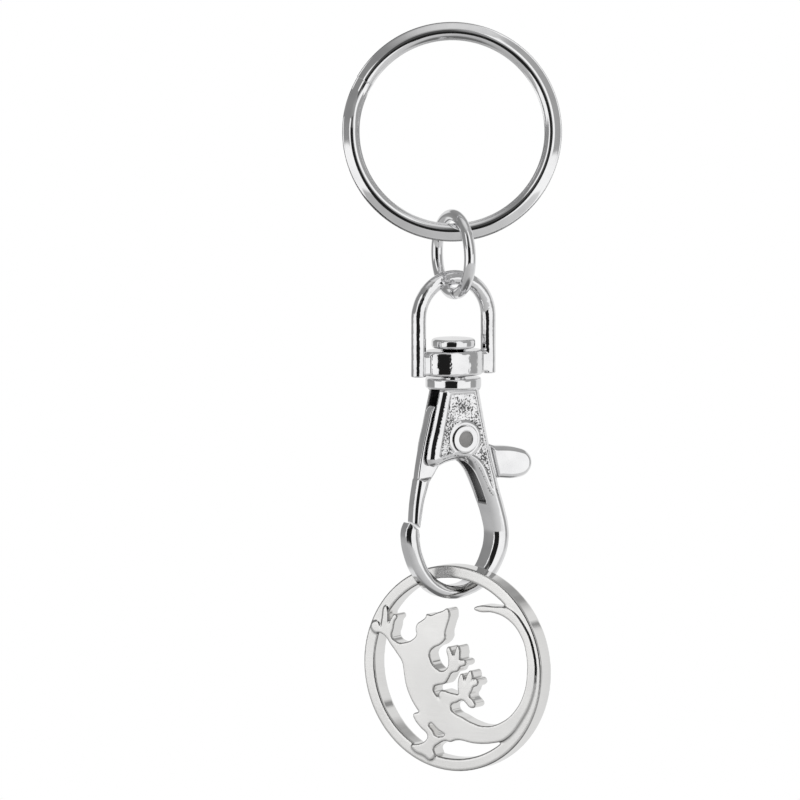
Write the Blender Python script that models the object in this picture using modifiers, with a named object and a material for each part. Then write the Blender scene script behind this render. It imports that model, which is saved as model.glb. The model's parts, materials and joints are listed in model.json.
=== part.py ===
"""Trolley coin keyring: a split ring, a jump ring, a swivel shackle, a sprung trigger clasp
and an openwork coin, hanging one below the other.

Metres, +Z up, front towards -Y. The origin is the inner top of the split ring, where the
keyring hangs. A flat piece is drawn upright in its own X (to the right) and Y (up), with its
front face towards its own +Z, and then stood up and turned about the vertical.
"""

import math

import bmesh
import bpy
from mathutils import Matrix, Vector

MM = 0.001

# Clearances and modelling allowances
TOUCH_GAP = 0.25 * MM
RUN_GAP = 0.25 * MM
FIT_GAP = 0.15 * MM
OVERRUN = 1.0 * MM
WELD_DISTANCE = 0.0005 * MM
SMOOTH_ANGLE = math.radians(32)
UPRIGHT = math.radians(90)

# Split ring: two turns of flattened wire, the front end at the upper left
RING_OUTER_DIAMETER = 24.6 * MM
RING_BAND = 1.95 * MM
RING_TURN_THICKNESS = 1.0 * MM
RING_TURN_GAP = 0.1 * MM
RING_LEAN = math.radians(11)
RING_END_ANGLE = math.radians(150)
RING_JOG_ANGLE = math.radians(24)
RING_END_CLEARANCE = math.radians(4)
RING_STEP = math.radians(7.5)
RING_SECTION_POINTS = 14

# Jump ring: one turn of round wire, cut at the bottom
JUMP_OUTER_DIAMETER = 10.1 * MM
JUMP_WIRE = 1.33 * MM
JUMP_TURN = math.radians(-66)
JUMP_CUT_ANGLE = math.radians(-77)
JUMP_CUT_GAP = 0.2 * MM
JUMP_CUT_OFFSET = 0.2 * MM
JUMP_STEP = math.radians(9)
JUMP_SWING_CLEARANCE = 0.3 * MM
CHAIN_SHIFT = 0.15 * MM

# Swivel shackle: a round arch on a flat base with an oval boss
LINK_TURN = math.radians(30)
SHACKLE_WIRE = 1.7 * MM
SHACKLE_WIDTH = 10.7 * MM
SHACKLE_HEIGHT = 11.8 * MM
SHACKLE_BASE_HEIGHT = 2.5 * MM
SHACKLE_BASE_DEPTH = 1.5 * MM
SHACKLE_BASE_ROUND = 0.3 * MM
SHACKLE_BASE_LIFT = 0.1 * MM
BOSS_WIDTH = 7.0 * MM
BOSS_DEPTH = 5.3 * MM
BOSS_HEIGHT = 2.8 * MM
BOSS_ROUND = 0.35 * MM
ARCH_STEP = math.radians(9)

# Swivel rivet: head on the boss, shank down through the boss into the clasp's collar
RIVET_HEAD_DIAMETER = 4.9 * MM
RIVET_HEAD_HEIGHT = 1.05 * MM
RIVET_HEAD_ROUND = 0.35 * MM
RIVET_SHANK_DIAMETER = 2.4 * MM

# Clasp body: collar, two side plates and a hook, cast in one
COLLAR_DIAMETER = 6.25 * MM
COLLAR_HEIGHT = 1.2 * MM
COLLAR_ROUND = 0.2 * MM
CLASP_HEIGHT = 23.7 * MM
CLASP_HALF_WIDTH = 6.25 * MM
CLASP_DEPTH = 3.7 * MM
CLASP_ROUND = 0.5 * MM
HOOK_DEPTH_SHARE = 0.865
HOOK_TIP_DEPTH_SHARE = 0.55
TAPER_START_SHARE = 0.5
TAPER_END_SHARE = 0.75
WEB_SHARE = 0.142
SLOT_WIDTH = 1.9 * MM
PANEL_RECESS = 0.22 * MM
LAND_DIAMETER = 4.0 * MM

# Gate lever, its pin and its spring
GATE_THICKNESS = 1.3 * MM
GATE_ROUND = 0.15 * MM
GATE_INSET = 0.42 * MM
ARM_END_THICKNESS = 1.95 * MM
ARM_END_ROUND = 0.35 * MM
TAB_THICKNESS = 2.0 * MM
TAB_ROUND = 0.35 * MM
PIVOT_ACROSS = 0.45 * MM
PIVOT_DROP_SHARE = 0.2384
PIN_DIAMETER = 1.9 * MM
PIN_HEAD_DIAMETER = 3.1 * MM
PIN_HEAD_HEIGHT = 0.35 * MM
PIN_DIMPLE_DIAMETER = 1.9 * MM
PIN_DIMPLE_DEPTH = 0.25 * MM
SPRING_WIRE = 0.26 * MM
SPRING_MEAN_DIAMETER = 2.5 * MM
SPRING_PITCH = 0.3 * MM
SPRING_TURNS = 2.25
SPRING_POINTS_PER_TURN = 14
SPRING_POCKET_DEPTH = 1.05 * MM
LEG_GROOVE_DEPTH = 1.0 * MM
LEG_GROOVE_WIDTH = 0.75 * MM
LEG_GROOVE_SPARE = 0.75 * MM
REST_NOTCH_DEPTH = 0.5 * MM
REST_NOTCH_SPARE_IN = 0.45 * MM
REST_NOTCH_SPARE_OUT = 0.65 * MM
REST_NOTCH_SPARE_UP = 1.4 * MM
SPRING_ARM_LEG = 2.2 * MM
SPRING_REST_GAP = 0.3 * MM
SPRING_REST_FOOT = 0.9 * MM

# Coin: a rim with a gecko figure standing in it
COIN_DIAMETER = 23.25 * MM
COIN_TURN = math.radians(-31.4)
RIM_BAND_SHARE = 0.061
RIM_THICKNESS = 2.3 * MM
RIM_CHAMFER = 0.2 * MM
FIGURE_FRONT = 1.3 * MM
FIGURE_BACK = 0.85 * MM
COIN_HINGE_DROP = 2.2 * MM
COIN_HOOK_GAP = 0.9 * MM
COIN_SWAY = math.radians(3)

# Steps round a turned piece
TURN_STEPS = 48
PIN_STEPS = 32
COIN_STEPS = 96

ROUND = "AUTO"
SHARP = "VECTOR"

# Clasp outline, front view. Each point is a share of the half width, to the right, and a
# share of the height, down from the collar.
BODY_SPINE_SHARES = [
    (0.41, 0.0, SHARP), (0.53, 0.16), (0.665, 0.32), (0.8, 0.465), (0.95, 0.585), (1.025, 0.66),
    (1.045, 0.73), (0.93, 0.835), (0.645, 0.934), (0.26, 0.986), (-0.11, 1.0), (-0.49, 0.968),
    (-0.79, 0.888), (-0.975, 0.788), (-1.04, 0.706), (-1.03, 0.66),
]
TIP_OUTER_SHARE = (-0.97, 0.625)
TIP_INNER_SHARE = (-0.765, 0.665)
BODY_EYE_SHARES = [
    (-0.75, 0.722), (-0.675, 0.797), (-0.53, 0.87), (-0.3, 0.921), (-0.02, 0.94),
    (0.25, 0.927), (0.49, 0.876), (0.66, 0.8), (0.735, 0.717), (0.685, 0.629), (0.565, 0.533),
    (0.43, 0.446), (0.285, 0.383), (0.135, 0.35), (-0.02, 0.339), (-0.256, 0.346),
    (-0.46, 0.363), (-0.575, 0.36), (-0.65, 0.313), (-0.52, 0.16), (-0.376, 0.0, SHARP),
]
NECK_SHARES = [
    (-0.34, 0.03, SHARP), (0.34, 0.03, SHARP), (0.34, -0.01, SHARP), (-0.34, -0.01, SHARP),
]
SLOT_SHARES = [
    (-1.4, 0.0, SHARP), (0.19, 0.0, SHARP), (0.29, WEB_SHARE, SHARP), (1.4, WEB_SHARE, SHARP),
    (1.4, 0.552, SHARP), (-1.4, 0.552, SHARP),
]
PANEL_SHARES = [
    (-0.27, 0.018, SHARP), (0.3, 0.018, SHARP), (0.59, 0.32), (0.71, 0.455), (0.74, 0.52, SHARP),
    (0.63, 0.455), (0.44, 0.362), (0.22, 0.318), (-0.02, 0.304), (-0.25, 0.308),
    (-0.5, 0.318, SHARP),
]

# Gate lever outline, in the same shares
GATE_TAIL_SHARES = [
    (-0.575, 0.155), (-0.51, 0.1), (-0.44, 0.08), (-0.35, 0.083), (-0.2, 0.113),
    (-0.05, 0.143), (0.08, 0.137), (0.26, 0.154), (0.385, 0.197), (0.52, 0.25),
]
GATE_NECK_SHARES = [
    (0.84, 0.29), (1.3, 0.335, SHARP), (1.3, 0.415, SHARP), (0.84, 0.435),
]
TAB_SHARES = [
    (0.7, 0.285, SHARP), (1.31, 0.305), (1.49, 0.329), (1.57, 0.376), (1.49, 0.423),
    (1.31, 0.444), (0.85, 0.44, SHARP),
]
GATE_ARM_SHARES = [
    (0.63, 0.42), (0.46, 0.365), (0.3, 0.33), (0.08, 0.32), (-0.13, 0.325), (-0.31, 0.357),
    (-0.45, 0.407), (-0.6, 0.465), (-0.69, 0.53, SHARP), (-0.82, 0.53, SHARP), (-0.77, 0.39),
]
ARM_END_INNER_SHARES = [(-0.52, 0.418, SHARP), (-0.575, 0.465), (-0.655, 0.535)]
ARM_END_OUTER_SHARES = [(-0.865, 0.535), (-0.795, 0.425, SHARP)]

# Gecko figure, front view, clockwise from the snout. Each point is a share of the coin's
# radius to the right and up from its centre.
FIGURE_HEAD_SHARES = [
    (-0.05, 0.583), (-0.02, 0.525), (-0.05, 0.41), (-0.07, 0.34), (-0.07, 0.29), (-0.125, 0.225),
    (-0.205, 0.185), (-0.245, 0.135), (-0.23, 0.06), (-0.19, 0.005), (-0.125, -0.03),
    (-0.065, -0.01),
]
FIGURE_RIGHT_HAND_SHARES = [
    (-0.04, 0.04), (-0.045, 0.11), (-0.06, 0.18), (-0.035, 0.213), (-0.005, 0.183),
    (0.023, 0.115, SHARP), (0.043, 0.187), (0.07, 0.23), (0.097, 0.187), (0.095, 0.083, SHARP),
    (0.125, 0.1), (0.163, 0.072), (0.143, 0.034), (0.098, 0.02), (0.068, -0.024), (0.0, -0.047),
    (-0.034, -0.1), (-0.082, -0.155), (-0.144, -0.17), (-0.2, -0.198),
]
FIGURE_RIGHT_FOOT_SHARES = [
    (-0.136, -0.31, SHARP), (-0.148, -0.264), (-0.122, -0.222), (-0.032, -0.232),
    (0.075, -0.247, SHARP), (0.068, -0.145), (0.083, -0.072), (0.115, -0.04),
    (0.148, -0.115, SHARP), (0.175, -0.043), (0.21, -0.004), (0.24, -0.048),
    (0.23, -0.11, SHARP), (0.264, -0.075), (0.302, -0.115), (0.284, -0.15), (0.248, -0.163),
    (0.23, -0.206), (0.205, -0.25), (0.25, -0.298), (0.27, -0.339), (0.242, -0.369),
    (0.2, -0.365), (0.16, -0.331), (0.12, -0.303), (0.047, -0.332),
]
FIGURE_TAIL_SHARES = [
    (0.0, -0.35), (0.0, -0.4), (0.03, -0.43), (0.104, -0.46), (0.205, -0.503), (0.38, -0.533),
    (0.57, -0.475), (0.723, -0.342), (0.81, -0.18), (0.844, 0.0), (0.836, 0.187),
    (0.775, 0.365), (0.638, 0.511), (0.464, 0.572), (0.29, 0.575), (0.25, 0.6), (0.29, 0.627),
    (0.464, 0.636), (0.633, 0.627), (0.825, 0.45), (0.926, 0.202),
    (0.943, 0.0), (0.904, -0.221), (0.791, -0.442), (0.6, -0.65), (0.464, -0.695),
    (0.258, -0.713), (0.05, -0.695),
]
FIGURE_LEFT_FOOT_SHARES = [
    (-0.023, -0.72), (-0.064, -0.711), (-0.15, -0.747), (-0.2, -0.793), (-0.187, -0.855),
    (-0.24, -0.908), (-0.312, -0.872), (-0.43, -0.825), (-0.453, -0.784), (-0.366, -0.757),
    (-0.296, -0.72), (-0.276, -0.678), (-0.357, -0.598), (-0.419, -0.528), (-0.435, -0.475),
    (-0.371, -0.45, SHARP),
]
FIGURE_LEFT_SIDE_SHARES = [
    (-0.433, -0.372), (-0.483, -0.286), (-0.521, -0.187), (-0.543, -0.072), (-0.561, 0.02),
    (-0.623, 0.106), (-0.696, 0.192), (-0.758, 0.265),
]
FIGURE_LEFT_HAND_SHARES = [
    (-0.815, 0.29), (-0.871, 0.292), (-0.912, 0.35), (-0.888, 0.396), (-0.841, 0.403),
    (-0.802, 0.354, SHARP), (-0.78, 0.471), (-0.771, 0.534), (-0.746, 0.561), (-0.723, 0.532),
    (-0.715, 0.387, SHARP), (-0.678, 0.456), (-0.645, 0.49), (-0.615, 0.465), (-0.645, 0.411),
    (-0.658, 0.346), (-0.676, 0.27), (-0.612, 0.215), (-0.527, 0.221), (-0.446, 0.254),
]
FIGURE_CHEEK_SHARES = [
    (-0.4, 0.305), (-0.408, 0.35), (-0.393, 0.407), (-0.341, 0.446), (-0.297, 0.48),
    (-0.284, 0.513), (-0.246, 0.505), (-0.167, 0.534), (-0.095, 0.56),
]
KNEE_HOLE_SHARES = [
    (-0.25, -0.555), (-0.153, -0.608), (-0.058, -0.657, SHARP), (-0.18, -0.668), (-0.206, -0.628),
]

# Finishes: colour, roughness
FINISHES = {
    "ring_steel": ((0.62, 0.62, 0.63), 0.12),
    "link_chrome": ((0.7, 0.7, 0.71), 0.08),
    "clasp_nickel": ((0.66, 0.66, 0.67), 0.14),
    "spring_steel": ((0.4, 0.4, 0.41), 0.3),
    "coin_nickel": ((0.74, 0.74, 0.73), 0.32),
}

# Places worked out from the sizes above
RING_OUTER_RADIUS = RING_OUTER_DIAMETER / 2
RING_INNER_RADIUS = RING_OUTER_RADIUS - RING_BAND
RING_MEAN_RADIUS = RING_OUTER_RADIUS - RING_BAND / 2
RING_DOWN = Vector((0, -math.sin(RING_LEAN), -math.cos(RING_LEAN)))
RING_CENTRE = RING_DOWN * RING_INNER_RADIUS
JUMP_HINGE = RING_DOWN * (RING_INNER_RADIUS + RING_MEAN_RADIUS) + Vector((CHAIN_SHIFT, 0, 0))
JUMP_RADIUS = (JUMP_OUTER_DIAMETER - JUMP_WIRE) / 2
JUMP_CENTRE_RISE = RING_BAND / 2 + JUMP_SWING_CLEARANCE + JUMP_WIRE / 2 - JUMP_RADIUS
SHACKLE_HINGE = JUMP_HINGE + Vector((0, 0, JUMP_CENTRE_RISE - JUMP_RADIUS))
ARCH_RADIUS = (SHACKLE_WIDTH - SHACKLE_WIRE) / 2
ARCH_TOP_RISE = JUMP_WIRE / 2 + TOUCH_GAP + SHACKLE_WIRE
BOSS_BOTTOM_RISE = ARCH_TOP_RISE - SHACKLE_HEIGHT
SWIVEL = SHACKLE_HINGE + Vector((0, 0, BOSS_BOTTOM_RISE - RUN_GAP - COLLAR_HEIGHT))
PIVOT_DROP = PIVOT_DROP_SHARE * CLASP_HEIGHT
SPRING_REST_LEG = PIVOT_DROP - WEB_SHARE * CLASP_HEIGHT - SPRING_WIRE / 2 - SPRING_REST_GAP
RIM_INNER_RADIUS = COIN_DIAMETER * (1 / 2 - RIM_BAND_SHARE)
EYE_BOTTOM_DROP = max(share[1] for share in BODY_EYE_SHARES) * CLASP_HEIGHT
COIN_HINGE = SWIVEL - Vector((0, 0, EYE_BOTTOM_DROP + COIN_HINGE_DROP))
COIN_DOWN = Matrix.Rotation(COIN_TURN, 3, "Z") @ Vector((math.sin(COIN_SWAY), 0, -math.cos(COIN_SWAY)))
COIN_CENTRE = SWIVEL - Vector((0, 0, EYE_BOTTOM_DROP - COIN_HOOK_GAP)) + COIN_DOWN * RIM_INNER_RADIUS


def clear_scene():
    """Remove every object, so that the model is built in an empty scene."""
    for item in list(bpy.data.objects):
        bpy.data.objects.remove(item)


def collection(name):
    """Add a collection to the scene."""
    group = bpy.data.collections.new(name)
    bpy.context.scene.collection.children.link(group)
    return group


def finish_material(name):
    """A polished or satin metal from the table of finishes."""
    colour, roughness = FINISHES[name]
    material = bpy.data.materials.new(name)
    material.use_nodes = True
    shader = material.node_tree.nodes["Principled BSDF"]
    shader.inputs["Base Color"].default_value = (*colour, 1)
    shader.inputs["Metallic"].default_value = 1
    shader.inputs["Roughness"].default_value = roughness
    return material


def upright(place, turn, tilt=UPRIGHT):
    """The frame of a flat piece: its Y raised by tilt, then turned about the vertical."""
    return Matrix.Translation(place) @ Matrix.Rotation(turn, 4, "Z") @ Matrix.Rotation(tilt, 4, "X")


def add(name, data, group):
    """Link a new object to a collection."""
    item = bpy.data.objects.new(name, data)
    group.objects.link(item)
    return item


def weld(mesh):
    """Join touching points and turn every face outwards."""
    work = bmesh.new()
    work.from_mesh(mesh)
    bmesh.ops.remove_doubles(work, verts=work.verts, dist=WELD_DISTANCE)
    bmesh.ops.recalc_face_normals(work, faces=work.faces)
    work.to_mesh(mesh)
    work.free()


def to_mesh(curve_object, group):
    """Replace a curve object by a welded mesh object of the same name and place."""
    name = curve_object.name
    place = curve_object.matrix_world.copy()
    evaluated = curve_object.evaluated_get(bpy.context.evaluated_depsgraph_get())
    mesh = bpy.data.meshes.new_from_object(evaluated)
    bpy.data.objects.remove(curve_object)
    weld(mesh)
    item = add(name, mesh, group)
    item.matrix_world = place
    return item


def poly_curve(name, points, closed=False):
    """A curve through the points, joined by straight runs."""
    curve = bpy.data.curves.new(name, "CURVE")
    curve.dimensions = "3D"
    spline = curve.splines.new("POLY")
    spline.points.add(len(points) - 1)
    for knot, point in zip(spline.points, points):
        knot.co = (*point, 1)
    spline.use_cyclic_u = closed
    return curve


def wire(name, points, diameter, group, sides=3):
    """A round wire with capped ends along the points."""
    curve = poly_curve(name, points)
    curve.twist_mode = "MINIMUM"
    curve.bevel_depth = diameter / 2
    curve.bevel_resolution = sides
    curve.use_fill_caps = True
    return to_mesh(add(name, curve, group), group)


def plate(name, outline, depth, group, edge_round=0, resolution=3, scale=(1, 1)):
    """An extruded outline with rounded rims, centred on its own XY plane."""
    curve = bpy.data.curves.new(name, "CURVE")
    curve.dimensions = "2D"
    curve.fill_mode = "BOTH"
    curve.resolution_u = resolution
    curve.extrude = depth / 2 - edge_round
    curve.bevel_depth = edge_round
    curve.bevel_resolution = 2
    curve.offset = -edge_round
    spline = curve.splines.new("BEZIER")
    spline.bezier_points.add(len(outline) - 1)
    for knot, point in zip(spline.bezier_points, outline):
        handle = point[2] if len(point) > 2 else ROUND
        knot.co = (point[0] * scale[0], point[1] * scale[1], 0)
        knot.handle_left_type = handle
        knot.handle_right_type = handle
    spline.use_cyclic_u = True
    return to_mesh(add(name, curve, group), group)


def turned(name, profile, group, steps=TURN_STEPS):
    """A solid turned about its own Z from a profile of radius and height."""
    mesh = bpy.data.meshes.new(name)
    edges = [(i, i + 1) for i in range(len(profile) - 1)]
    if profile[0][0] > 0:
        edges.append((len(profile) - 1, 0))
    mesh.from_pydata([(radius, 0, height) for radius, height in profile], edges, [])
    item = add(name, mesh, group)
    screw = item.modifiers.new("Turn", "SCREW")
    screw.steps = steps
    screw.render_steps = steps
    screw.use_merge_vertices = True
    screw.merge_threshold = WELD_DISTANCE
    screw.use_smooth_shade = True
    evaluated = item.evaluated_get(bpy.context.evaluated_depsgraph_get())
    solid = bpy.data.meshes.new_from_object(evaluated)
    bpy.data.objects.remove(item)
    weld(solid)
    return add(name, solid, group)


def rounded_rim(radius, height, rim, outward=1):
    """Three profile points of a rounded rim, from the flat face round to the wall."""
    points = []
    for turn in (0, math.pi / 4, math.pi / 2):
        points.append((radius - rim + rim * math.sin(turn),
                       height - outward * rim * (1 - math.cos(turn))))
    return points


def boolean(item, other, operation):
    """Cut or join another solid, which stays hidden as a guide."""
    other.hide_render = True
    other.display_type = "WIRE"
    step = item.modifiers.new(other.name, "BOOLEAN")
    step.operation = operation
    step.solver = "EXACT"
    step.object = other


def finish(item, material, parent, place):
    """Give a piece its material and shading, and stand it in its place under its joint."""
    item.data.materials.clear()
    item.data.materials.append(material)
    item.data.shade_smooth()
    item.data.set_sharp_from_angle(angle=SMOOTH_ANGLE)
    item.parent = parent
    item.matrix_parent_inverse = parent.matrix_world.inverted()
    item.matrix_world = place


def joint_empty(name, place, parent, group):
    """An empty on a joint's axis."""
    empty = add(name, None, group)
    empty.empty_display_size = TOUCH_GAP
    if parent:
        empty.parent = parent
        empty.matrix_parent_inverse = parent.matrix_world.inverted()
    empty.matrix_world = place
    bpy.context.view_layer.update()
    return empty


def from_shares(shares):
    """Clasp outline points, in metres right of and above the collar's underside."""
    return [(point[0] * CLASP_HALF_WIDTH, -point[1] * CLASP_HEIGHT, *point[2:]) for point in shares]


def rectangle(left, right, low, high):
    """The outline of an upright rectangle."""
    return [(left, low, SHARP), (right, low, SHARP), (right, high, SHARP), (left, high, SHARP)]


def split_ring_path():
    """Two flat turns: round the front, back through the jog, then round the back."""
    layer = (RING_TURN_THICKNESS + RING_TURN_GAP) / 2
    jog_start = math.tau - RING_END_CLEARANCE - RING_JOG_ANGLE
    sweep = 2 * math.tau - RING_JOG_ANGLE - 2 * RING_END_CLEARANCE
    steps = round(sweep / RING_STEP)
    points = []
    for i in range(steps + 1):
        turned_by = sweep * i / steps
        share = min(max((turned_by - jog_start) / RING_JOG_ANGLE, 0), 1)
        blend = share * share * (3 - 2 * share)
        angle = RING_END_ANGLE - turned_by
        points.append((RING_MEAN_RADIUS * math.cos(angle), RING_MEAN_RADIUS * math.sin(angle),
                       layer * (1 - 2 * blend)))
    return points


def make_split_ring(parts, guides):
    """The flattened wire is swept along the two turns."""
    section = []
    for i in range(RING_SECTION_POINTS):
        angle = math.tau * i / RING_SECTION_POINTS
        section.append((RING_BAND / 2 * math.cos(angle), RING_TURN_THICKNESS / 2 * math.sin(angle), 0))
    profile = add("ring_wire_section", poly_curve("ring_wire_section", section, True), guides)
    profile.hide_render = True
    profile.display_type = "WIRE"
    curve = poly_curve("split_ring", split_ring_path())
    curve.twist_mode = "Z_UP"
    curve.bevel_mode = "OBJECT"
    curve.bevel_object = profile
    curve.use_fill_caps = True
    return to_mesh(add("split_ring", curve, parts), parts)


def make_jump_ring(parts):
    """One turn of wire whose two ends stand a little apart and out of line."""
    cut = JUMP_CUT_GAP / JUMP_RADIUS
    sweep = math.tau - cut
    steps = round(sweep / JUMP_STEP)
    points = []
    for i in range(steps + 1):
        share = i / steps
        angle = JUMP_CUT_ANGLE + cut / 2 + sweep * share
        points.append((JUMP_RADIUS * math.cos(angle), JUMP_RADIUS * math.sin(angle),
                       JUMP_CUT_OFFSET * (share - 1 / 2)))
    return wire("jump_ring", points, JUMP_WIRE, parts)


def make_swivel_shackle(parts, guides):
    """A round arch whose legs run down into the base, with a boss bored for the rivet."""
    leg_foot = BOSS_BOTTOM_RISE
    arch_centre = ARCH_TOP_RISE - SHACKLE_WIRE / 2 - ARCH_RADIUS
    steps = round(math.pi / ARCH_STEP)
    points = [(ARCH_RADIUS, leg_foot, 0)]
    for i in range(steps + 1):
        angle = math.pi * i / steps
        points.append((ARCH_RADIUS * math.cos(angle), arch_centre + ARCH_RADIUS * math.sin(angle), 0))
    points.append((-ARCH_RADIUS, leg_foot, 0))
    shackle = wire("swivel_shackle", points, SHACKLE_WIRE, parts)

    outline = rectangle(-ARCH_RADIUS, ARCH_RADIUS, leg_foot + SHACKLE_BASE_LIFT,
                        leg_foot + SHACKLE_BASE_HEIGHT)
    base = plate("shackle_base", outline, SHACKLE_BASE_DEPTH, guides)
    bevel = base.modifiers.new("Rims", "BEVEL")
    bevel.width = SHACKLE_BASE_ROUND
    bevel.segments = 3
    bevel.limit_method = "ANGLE"

    radius = BOSS_WIDTH / 2
    top = BOSS_BOTTOM_RISE + BOSS_HEIGHT
    profile = [(0, top), *rounded_rim(radius, top, BOSS_ROUND)]
    profile += reversed(rounded_rim(radius, BOSS_BOTTOM_RISE, BOSS_ROUND, -1))
    profile.append((0, BOSS_BOTTOM_RISE))
    boss = turned("shackle_boss", profile, guides)
    boss.data.transform(Matrix.Scale(BOSS_DEPTH / BOSS_WIDTH, 4, Vector((0, 1, 0))))
    bore_radius = RIVET_SHANK_DIAMETER / 2 + RUN_GAP
    bore = turned("shackle_bore", bore_profile(bore_radius, BOSS_BOTTOM_RISE, top), guides)
    for tool in (boss, bore):
        tool.matrix_world = Matrix.Rotation(-UPRIGHT, 4, "X")
    boolean(shackle, base, "UNION")
    boolean(shackle, boss, "UNION")
    boolean(shackle, bore, "DIFFERENCE")
    return shackle, [base, boss, bore]


def bore_profile(radius, low, high):
    """A plain cylinder that runs past both faces of what it bores."""
    return [(0, high + OVERRUN), (radius, high + OVERRUN), (radius, low - OVERRUN), (0, low - OVERRUN)]


def make_swivel_rivet(parts):
    """A round head above the boss and a shank down to the collar's underside."""
    under_head = COLLAR_HEIGHT + RUN_GAP + BOSS_HEIGHT + RUN_GAP
    top = under_head + RIVET_HEAD_HEIGHT
    head, shank = RIVET_HEAD_DIAMETER / 2, RIVET_SHANK_DIAMETER / 2
    profile = [(0, top), *rounded_rim(head, top, RIVET_HEAD_ROUND), (head, under_head)]
    profile += [(shank, under_head), (shank, FIT_GAP), (0, FIT_GAP)]
    return turned("swivel_rivet", profile, parts)


def taper_hook(mesh):
    """Thin the hook below the slot, a little at the spine and more towards its tip."""
    for vertex in mesh.vertices:
        across = (CLASP_HALF_WIDTH - vertex.co.x) / (2 * CLASP_HALF_WIDTH)
        down = (-vertex.co.y / EYE_BOTTOM_DROP - TAPER_START_SHARE) / (
            TAPER_END_SHARE - TAPER_START_SHARE)
        across, down = min(max(across, 0), 1), min(max(down, 0), 1)
        thinning = 1 - HOOK_DEPTH_SHARE + (HOOK_DEPTH_SHARE - HOOK_TIP_DEPTH_SHARE) * across
        vertex.co.z *= 1 - thinning * down


def make_clasp_body(parts, guides):
    """Side plates and hook from one outline, with the collar on top and the gate's slot."""
    outline = from_shares(
        BODY_SPINE_SHARES + [(*TIP_OUTER_SHARE, SHARP), (*TIP_INNER_SHARE, SHARP)] + BODY_EYE_SHARES
    )
    body = plate("clasp_body", outline, CLASP_DEPTH, parts, CLASP_ROUND)
    taper_hook(body.data)

    radius = COLLAR_DIAMETER / 2
    bore_radius = RIVET_SHANK_DIAMETER / 2 + FIT_GAP
    profile = [(bore_radius, COLLAR_HEIGHT), *rounded_rim(radius, COLLAR_HEIGHT, COLLAR_ROUND)]
    profile += reversed(rounded_rim(radius, 0, COLLAR_ROUND, -1))
    profile.append((bore_radius, 0))
    collar = turned("clasp_collar", profile, guides)
    neck = plate("clasp_neck", from_shares(NECK_SHARES), CLASP_DEPTH - 2 * CLASP_ROUND, guides)
    slot = plate("gate_slot", from_shares(SLOT_SHARES), SLOT_WIDTH, guides)
    bore = turned("rivet_bore", bore_profile(bore_radius, 0, COLLAR_HEIGHT), guides)
    for tool in (collar, bore):
        tool.matrix_world = Matrix.Rotation(-UPRIGHT, 4, "X")

    panels = []
    for side, name in ((1, "front_panel"), (-1, "back_panel")):
        panel = plate(name, from_shares(PANEL_SHARES), 2 * PANEL_RECESS, guides)
        panel.location = (0, 0, side * CLASP_DEPTH / 2)
        land = turned(name + "_land", bore_profile(LAND_DIAMETER / 2, 0, 0), guides, PIN_STEPS)
        land.matrix_world = Matrix.Translation((PIVOT_ACROSS, -PIVOT_DROP, side * CLASP_DEPTH / 2))
        boolean(panel, land, "DIFFERENCE")
        panels.append(panel)
    profile = bore_profile(PIN_DIAMETER / 2 + FIT_GAP, -CLASP_DEPTH / 2, CLASP_DEPTH / 2)
    pin_bore = turned("pin_bore", profile, guides, PIN_STEPS)
    pin_bore.location = (PIVOT_ACROSS, -PIVOT_DROP, 0)

    boolean(body, neck, "UNION")
    boolean(body, collar, "UNION")
    for tool in (slot, bore, *panels, pin_bore):
        boolean(body, tool, "DIFFERENCE")
    return body, [collar, neck, slot, bore, *panels, pin_bore]


def gate_end():
    """The two corners of the gate's end, a gap above the hook tip's slanted face."""
    outer = Vector(from_shares([TIP_OUTER_SHARE])[0])
    inner = Vector(from_shares([TIP_INNER_SHARE])[0])
    along = (inner - outer).normalized()
    away = Vector((-along.y, along.x))
    return (inner + away * TOUCH_GAP, outer + along * GATE_INSET + away * TOUCH_GAP)


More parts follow.
